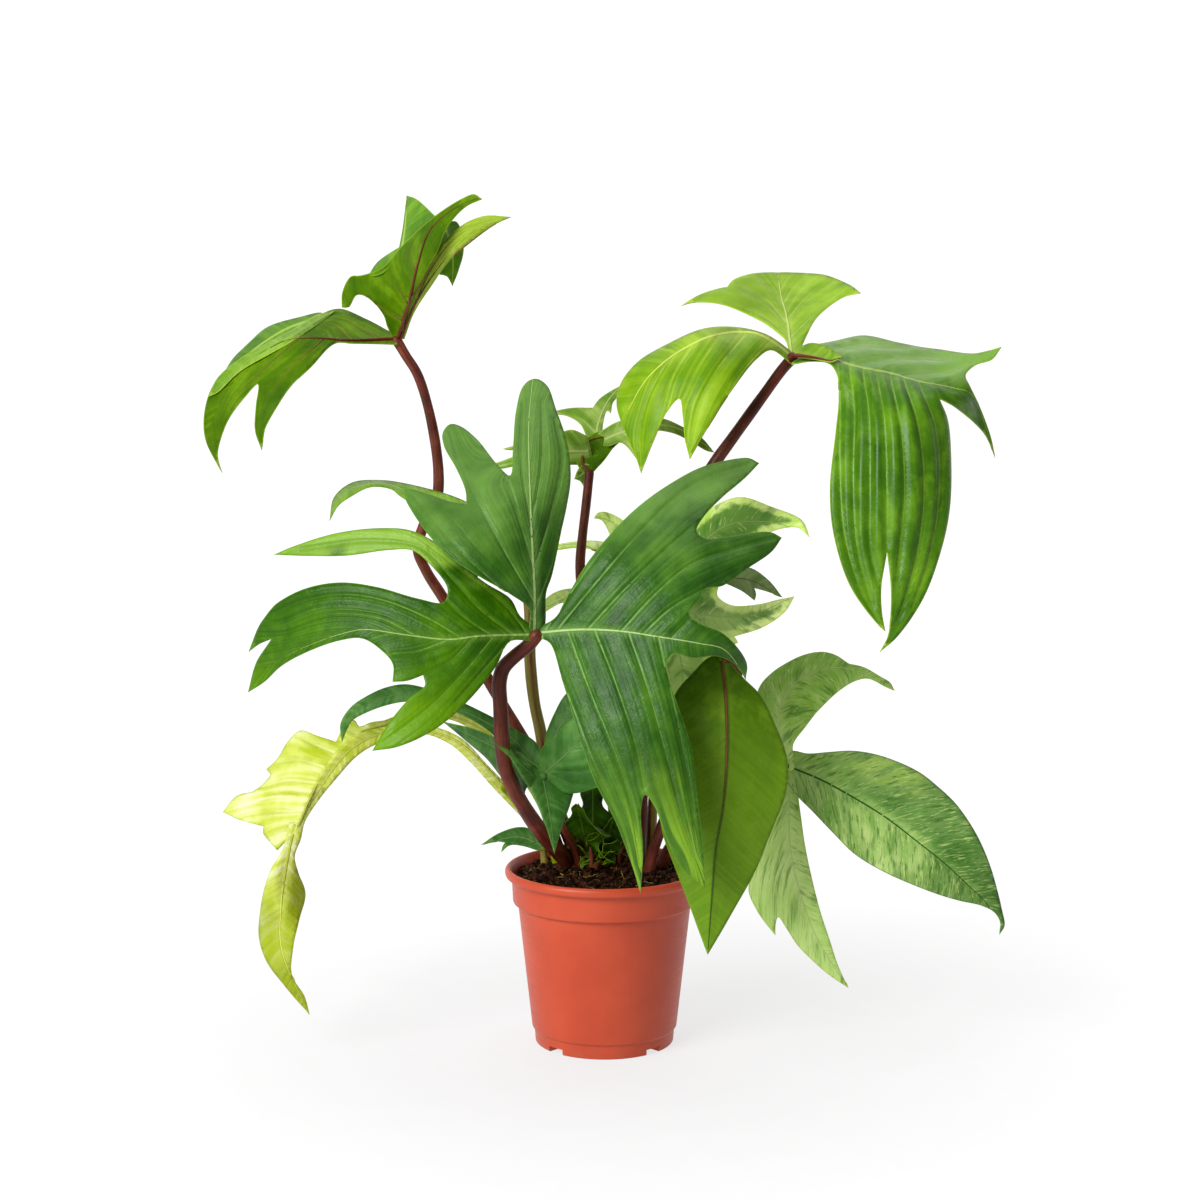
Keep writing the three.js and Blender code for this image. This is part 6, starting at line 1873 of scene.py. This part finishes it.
def small_leaf(rng):
    turn = rng.uniform(0, 2 * math.pi)
    reach = rng.uniform(2, 13)
    rise = rng.uniform(0, 26) * (1 - reach / 40)
    return blade_strip(beside_centre(turn, reach, rise), turn + rng.gauss(0, 0.6), rng.uniform(0.1, 0.9),
                       rng.uniform(10, 20), rng.uniform(6, 12), bend=rng.uniform(0.4, 2.2),
                       cup=rng.uniform(-0.5, 0.6), slot=0, tone=rng.random(), lobes=0.4, waves=0.4)


def sheath(rng):
    turn = rng.uniform(0, 2 * math.pi)
    base = beside_centre(turn, rng.uniform(8, 15))
    return blade_strip(base, turn + rng.gauss(0, 0.4), rng.uniform(0, 0.5), rng.uniform(14, 32),
                       rng.uniform(4, 7), bend=rng.uniform(-0.4, 1.6), cup=0.9, slot=1, tone=rng.random())


def small_stalk(rng):
    turn = rng.uniform(0, 2 * math.pi)
    base = beside_centre(turn, rng.uniform(7, 15), 2)
    tip = base + [4 * math.cos(turn), 4 * math.sin(turn), rng.uniform(12, 30)]
    middle = (base + tip) / 2 + [rng.uniform(-2, 2), rng.uniform(-2, 2), 3]
    path = curve_through([base, middle, tip], 2)
    return tube_mesh(path, np.linspace(1.9, 0.9, len(path)), 8, 1)


def crown():
    """The shoots of the CAD as crinkled leaves, wider ones among them, with small leaves,
    sheaths and stalks around their feet."""
    rng = random.Random(CROWN_SEED)
    parts = [shoot(rng, *measures) for measures in SHOOTS]
    parts += [broad_shoot(rng, *measures) for measures in BROAD_SHOOTS]
    for make, count in ((small_leaf, SMALL_LEAVES), (sheath, SHEATHS), (small_stalk, SMALL_STALKS)):
        parts += [make(rng) for _ in range(count)]
    build("crown_shoots", parts, [CURLED, SHEATH], ["shoots"])


# Paints of this plant

# The second of levels paints a sheen: a pale bluish green over the highest parts of the leaf, where its gloss
# catches the light. The first, yellow-green stripes low down, is the leaf's own colour.
DEEP = leaf_paint(
    "leaf_deep", tones=((30, 72, 10), (48, 96, 16), (78, 126, 30)), vein=(140, 184, 100),
    rib=(166, 200, 116), margin=(110, 158, 50), streaks=0.3,
    levels=[((136, 180, 44), 135, 205, 0.9, 0.85), ((122, 166, 76), 360, 290, 0.55, 0.3)], shine=0.33,
    specular=0.14, bumps=1.5)
DEEP_UNDER = leaf_paint(
    "leaf_deep_under", tones=((66, 108, 30), (84, 128, 40), (114, 152, 60)), vein=(140, 172, 80),
    rib=(120, 90, 50), margin=(130, 162, 70), shine=0.5)
# The first of levels is painted light: it makes the lower part of the leaf lighter, where more light falls on
# the left lobe.
FRESH = leaf_paint(
    "leaf_fresh", tones=((34, 80, 0), (50, 98, 0), (80, 130, 4)), vein=(126, 168, 60), rib=(146, 184, 90),
    margin=(96, 148, 20), streaks=0.3,
    levels=[((116, 166, 8), 205, 250, 0.8, 0.2), ((140, 182, 60), 302, 284, 0.9, 0.2)],
    clouds=[((84, 132, 4), 0.54, 0.7, 0.5)], shine=0.33, specular=0.12, bumps=1.4)
LIME = leaf_paint(
    "leaf_lime", tones=((90, 138, 4), (120, 162, 14), (154, 190, 40)), vein=(190, 214, 90),
    rib=(200, 220, 90), margin=(176, 206, 50), streaks=0.45, clouds=[((84, 138, 4), 0.56, 0.7, 0.55)],
    vein_share=0.5)
LIME_UNDER = leaf_paint(
    "leaf_lime_under", tones=((96, 140, 20), (124, 164, 34), (158, 190, 60)), vein=(176, 200, 80),
    rib=(120, 60, 36), margin=(160, 190, 60), shine=0.5)
LIME_TOP = leaf_paint(
    "leaf_lime_top", tones=((112, 156, 10), (140, 182, 24), (172, 208, 60)), vein=(196, 218, 110),
    rib=(200, 220, 120), margin=(184, 212, 80), streaks=0.4, vein_share=0.5)
# half paints light: the upper half of the right lobe, which leans back, is tinted lighter green for the light
# that falls on it.
PANEL = leaf_paint(
    "leaf_panel", tones=((44, 92, 2), (68, 118, 8), (108, 156, 26)), vein=(130, 176, 60),
    rib=(160, 190, 80), margin=(150, 186, 36), streaks=0.3, half=((124, 172, 60), 1, 0.8),
    clouds=[((116, 162, 22), 0.56, 0.7, 0.5)], vein_share=0.6, margin_share=0.8, shine=0.31, specular=0.17,
    bumps=0.6, fade=(0.6, 1.0))
OLIVE = leaf_paint(
    "leaf_olive", tones=((54, 92, 0), (74, 112, 0), (110, 148, 14)), vein=(130, 164, 46), rib=(104, 44, 26),
    margin=(140, 178, 40), streaks=0.3, vein_share=0.3, shine=0.52, specular=0.04)
# The long finger's underside: pale olive, its lightness partly the leaf's own colour and partly a painted
# glow of the light that comes through it from behind.
OLIVE_PALE_PAINTED_GLOW = leaf_paint(
    "leaf_olive_pale_painted_glow", tones=((112, 150, 18), (150, 180, 40), (200, 218, 96)), vein=(190, 212, 100),
    rib=(110, 50, 30), margin=(150, 186, 50), streaks=0.6, vein_share=0.4)
OLIVE_TOP = leaf_paint(
    "leaf_olive_top", tones=((58, 108, 4), (80, 130, 8), (114, 160, 24)), vein=(130, 170, 60),
    rib=(150, 186, 70), margin=(130, 170, 50), shine=0.52, specular=0.04)
BAND = leaf_paint(
    "leaf_band", tones=((96, 140, 24), (118, 160, 44), (142, 180, 64)), vein=(150, 186, 70),
    rib=(126, 166, 50), margin=(164, 194, 56), streaks=0.3, vein_share=0.2)
PALE = leaf_paint(
    "leaf_pale", tones=((82, 128, 24), (114, 154, 44), (160, 190, 88)), vein=(190, 210, 120),
    rib=(178, 200, 110), margin=(180, 204, 100))
PALE_UNDER = leaf_paint(
    "leaf_pale_under", tones=((92, 130, 30), (126, 162, 60), (164, 194, 100)), vein=(110, 40, 36),
    rib=(96, 26, 30), margin=(160, 190, 70), shine=0.5)
# through=0.25 paints a glow into this cream leaf, standing for light that comes through it.
CREAM = leaf_paint(
    "leaf_cream", tones=((180, 218, 90), (214, 240, 130), (236, 250, 170)), vein=(230, 242, 170),
    rib=(150, 190, 90), margin=(196, 224, 90), core=((66, 128, 34), 2.5, 5.5, 0.85),
    levels=[((206, 234, 130), 256, 280, 0.5, 0.2)], clouds=[((66, 118, 36), 0.54, 0.64, 0.6)],
    dashes=[((206, 232, 140), 0.58, 0.66, 0.5)], vein_share=0.3, rib_width=0.6, through=0.25)
ASHEN = leaf_paint(
    "leaf_ashen", tones=((104, 130, 72), (132, 156, 98), (168, 188, 130)), vein=(172, 190, 130),
    rib=(122, 112, 80), margin=(120, 150, 60), streaks=0.45, vein_share=0.4, rib_width=0.6)
# through=0.1 paints a faint glow into this leaf, standing for light that comes through it.
MOTTLED = leaf_paint(
    "leaf_mottled", tones=((140, 188, 70), (172, 212, 104), (206, 232, 144)), vein=(220, 238, 160),
    rib=(196, 222, 134), margin=(170, 206, 66), streaks=0.3,
    levels=[((206, 238, 140), 130, 168, 0.5, 0.3), ((104, 158, 56), 235, 190, 0.45, 0.3)],
    clouds=[((66, 124, 30), 0.52, 0.66, 0.7)],
    dashes=[((62, 116, 30), 0.56, 0.65, 0.5), ((224, 242, 156), 0.57, 0.67, 0.55)], vein_share=0.5,
    rib_width=0.5, through=0.1)
MOTTLED_DARK = leaf_paint(
    "leaf_mottled_dark", tones=((126, 176, 76), (170, 208, 112), (212, 234, 148)), vein=(176, 210, 124),
    rib=(44, 90, 24), margin=(76, 124, 46), streaks=0.3, half=((88, 140, 62), 1, 0.8),
    levels=[((56, 104, 32), 96, 142, 0.8, 0.3), ((190, 222, 96), 176, 152, 0.45, 0.8)],
    clouds=[((76, 128, 54), 0.5, 0.68, 0.55)],
    dashes=[((56, 106, 36), 0.54, 0.64, 0.65), ((214, 236, 140), 0.55, 0.67, 0.55)], vein_share=0.3,
    rib_width=0.7)
MOTTLED_UNDER = leaf_paint(
    "leaf_mottled_under", tones=((130, 162, 76), (160, 188, 100), (194, 214, 130)), vein=(200, 218, 140),
    rib=(130, 150, 80), margin=(170, 190, 110), clouds=[((80, 126, 50), 0.5, 0.64, 0.6)], shine=0.5)
HANGING_UNDER = leaf_paint(
    "leaf_hanging", tones=((54, 90, 0), (74, 114, 0), (116, 156, 30)), vein=(134, 168, 40),
    rib=(110, 84, 24), margin=(128, 168, 30), streaks=0.12, levels=[((112, 154, 30), 155, 250, 0.9, 0.2)],
    vein_share=0.5, shine=0.42, fade=(0.5, 1.0))
YOUNG_TOP = leaf_paint(
    "leaf_young", tones=((172, 190, 34), (208, 218, 100), (238, 242, 200)), vein=(234, 240, 150),
    rib=(204, 212, 80), margin=(186, 200, 40), levels=[((150, 168, 10), 70, 130, 0.9, 0.2)], shine=0.38,
    specular=0.06, bumps=1.8)
YOUNG_STALK = leaf_paint(
    "leaf_young_stalk", tones=((96, 110, 0), (136, 148, 0), (182, 190, 30)), vein=(190, 200, 60),
    rib=(186, 196, 60), margin=(120, 132, 10), shine=0.5, specular=0.03)
DARK = leaf_paint(
    "leaf_dark", tones=((40, 86, 24), (60, 112, 40), (100, 148, 70)), vein=(120, 160, 84),
    rib=(110, 150, 84), margin=(100, 146, 50), streaks=0.3, vein_share=0.25, rib_width=0.5)
DARK_UNDER = leaf_paint(
    "leaf_dark_under", tones=((54, 96, 30), (76, 118, 42), (104, 142, 58)), vein=(124, 156, 74),
    rib=(110, 130, 60), margin=(110, 140, 50), shine=0.5)
CURLED = leaf_paint(
    "leaf_curled", tones=((24, 54, 0), (46, 88, 2), (90, 136, 14)), vein=(96, 136, 30), rib=(96, 126, 30),
    margin=(140, 164, 30), streaks=0.3, clouds=[((110, 144, 16), 0.6, 0.72, 0.5)])
MAROON = stem_paint(
    "stem_maroon", tones=((62, 19, 12), (100, 38, 25), (144, 70, 48)), stripe=(100, 84, 30),
    stripe_share=0.2)
MAROON_GREEN = stem_paint(
    "stem_striped", tones=((84, 36, 26), (120, 62, 44), (150, 96, 66)), stripe=(140, 132, 46),
    stripe_share=0.9, spread=0.38)
SHEATH = stem_paint(
    "sheath", tones=((66, 22, 12), (108, 46, 28), (150, 84, 50)), stripe=(80, 90, 24), stripe_share=0.6)
RIB_PALE = stem_paint(
    "rib_pale", tones=((120, 150, 60), (146, 174, 80), (172, 196, 104)), stripe=(140, 110, 60),
    stripe_share=0.4)
RIB_DULL = stem_paint(
    "rib_dull", tones=((66, 108, 50), (84, 128, 62), (110, 150, 84)), stripe=(120, 156, 90),
    stripe_share=0.4)
RIB_RED = stem_paint(
    "rib_red", tones=((80, 28, 14), (110, 46, 26), (146, 84, 50)), stripe=(110, 100, 36), stripe_share=0.4)
RIB_BROWN = stem_paint(
    "rib_brown", tones=((74, 48, 14), (104, 70, 28), (130, 100, 44)), stripe=(80, 96, 20), stripe_share=0.4,
    foot=((66, 98, 10), 150, 200))
RIB_YOUNG = stem_paint(
    "rib_young", tones=((180, 186, 50), (208, 212, 80), (228, 232, 120)), stripe=(190, 150, 60),
    stripe_share=0.3)


# Pieces: each leaf's name, data, paints (upper side, underside), ribs, stalk and slot

LEAVES = [
    ("front", FRONT, [(DEEP, DEEP_UNDER), (FRESH, DEEP_UNDER)], RIB_PALE, MAROON, "leaf_deep"),
    ("upper_left", UPPER_LEFT, [(OLIVE_TOP, OLIVE), (OLIVE_TOP, OLIVE_PALE_PAINTED_GLOW), (BAND, BAND)], RIB_RED, MAROON,
     "leaf_olive"),
    ("upper_right", UPPER_RIGHT, [(LIME, LIME_UNDER), (PANEL, LIME_UNDER), (LIME_TOP, LIME_UNDER)], RIB_RED,
     MAROON, "leaf_lime"),
    ("back", BACK, [(PALE, PALE_UNDER), (PALE, OLIVE)], RIB_RED, MAROON, "leaf_pale"),
    ("mid_right", MID_RIGHT, [(CREAM, CREAM), (ASHEN, ASHEN)], RIB_PALE, MAROON_GREEN, "leaf_mottled"),
    ("lower_right", LOWER_RIGHT, [(MOTTLED, MOTTLED_UNDER), (MOTTLED_DARK, MOTTLED_UNDER)], RIB_PALE, MAROON,
     "leaf_mottled"),
    ("hanging", HANGING, [(OLIVE_TOP, HANGING_UNDER)], RIB_BROWN, MAROON, "leaf_olive"),
    ("low", LOW, [(DARK, DARK_UNDER)], RIB_DULL, MAROON, "leaf_dark"),
    ("rim", RIM, [(DARK, DARK_UNDER)], RIB_DULL, MAROON_GREEN, "leaf_dark"),
    ("mid_left", MID_LEFT, [(FRESH, LIME_UNDER)], RIB_PALE, MAROON_GREEN, "leaf_lime"),
]


def leaves():
    for name, data, pairs, rib, _, slot in LEAVES:
        paints = [paint for pair in pairs for paint in pair]
        build(f"{name}_leaf", leaf_parts(data, len(pairs)), [*paints, rib], [f"blade_{name}"])


def young_leaf():
    """The new leaf is one piece with its stalk."""
    parts = leaf_parts(YOUNG, 2, YOUNG_SPACING)
    parts.append(stem_mesh(YOUNG, 2))
    paints = [YOUNG_TOP, YOUNG_TOP, YOUNG_STALK, YOUNG_STALK, RIB_YOUNG]
    build("young_leaf", parts, paints, ["leaf_young"])


def stalks():
    for name, data, _, _, paint, _ in LEAVES:
        build(f"{name}_stalk", [stem_mesh(data)], [paint], [f"petiole_{name}"])


# Stage

PAPER_SIDE = 4000
PAPER_BACK = 1500
PAPER_BEND = 1200
PAPER_TOP = 4500
PAPER_SHADES = ((0.135, 0.132, 0.133, 1), (0.145, 0.14, 0.142, 1))
WORLD_LIGHT = 0.3
LAMP_TARGET = (0, 0, 250)
LENS = 65.9
SENSOR = 36
EYE_TILT = 83.49


def backdrop():
    """A pale floor that curves up behind the object. It glows a little, more so far away,
    as paper does that has lamps of its own."""
    profile = [(-PAPER_SIDE, 0)]
    for turn in np.linspace(0, math.pi / 2, 17):
        profile.append((PAPER_BACK + PAPER_BEND * math.sin(turn), PAPER_BEND * (1 - math.cos(turn))))
    profile.append((PAPER_BACK + PAPER_BEND, PAPER_TOP))
    points = [(x, y, z) for y, z in profile for x in (-PAPER_SIDE, PAPER_SIDE)]
    faces = [(2 * i, 2 * i + 1, 2 * i + 3, 2 * i + 2) for i in range(len(profile) - 1)]
    floor = solid_object("backdrop", points, faces)
    floor.data.polygons.foreach_set("use_smooth", [True] * len(faces))
    floor.data.materials.append(paper_paint())
    return floor


def paper_paint():
    paint = Paint("paper", 0.9, 0.35)
    spot = paint.place()
    grain = paint.noise(spot, 0.05, detail=4)
    length = paint.node("VectorMath", operation="LENGTH")
    paint.feed(length.inputs[0], spot)
    away = length.outputs["Value"]
    near_glow = paint.ease(away, 60, 520, 0.72, 0.88)
    far_glow = paint.ease(away, 500, 2000, 0.0, 0.08)
    paint.feed(paint.surface.inputs["Emission Strength"], paint.math("ADD", near_glow, far_glow))
    paint.surface.inputs["Emission Color"].default_value = (1, 1, 1, 1)
    return paint.finish(paint.ramp(grain, (0.3, 0.7), PAPER_SHADES), paint.times(grain, 0.05))


def softbox(name, place_mm, size, power):
    light = bpy.data.lights.new(name, "AREA")
    light.shape = "SQUARE"
    light.size = size
    light.energy = power
    lamp = bpy.data.objects.new(name, light)
    bpy.context.scene.collection.objects.link(lamp)
    lamp.location = Vector(place_mm) * MM
    aim = (Vector(LAMP_TARGET) - Vector(place_mm)).normalized()
    lamp.rotation_euler = aim.to_track_quat("-Z", "Y").to_euler()
    return lamp


def studio():
    lamps = [
        softbox("key", (-1500, -1700, 1500), 1.5, 101),
        softbox("over", (200, 200, 2300), 1.6, 14),
    ]
    world = bpy.data.worlds.new("studio")
    world.use_nodes = True
    background = world.node_tree.nodes["Background"]
    background.inputs["Color"].default_value = (1, 1, 1, 1)
    background.inputs["Strength"].default_value = WORLD_LIGHT
    bpy.context.scene.world = world
    backdrop()


def camera():
    lens = bpy.data.cameras.new("view")
    lens.lens = LENS
    lens.sensor_width = SENSOR
    eye = bpy.data.objects.new("view", lens)
    eye.location = (EYE_X * MM, -EYE_DISTANCE * MM, EYE_HEIGHT * MM)
    eye.rotation_euler = (math.radians(EYE_TILT), 0, 0)
    bpy.context.scene.collection.objects.link(eye)
    bpy.context.scene.camera = eye


leaves()
young_leaf()
stalks()
pot()
soil()
crown()
studio()
camera()
bpy.context.scene.view_settings.view_transform = "Standard"
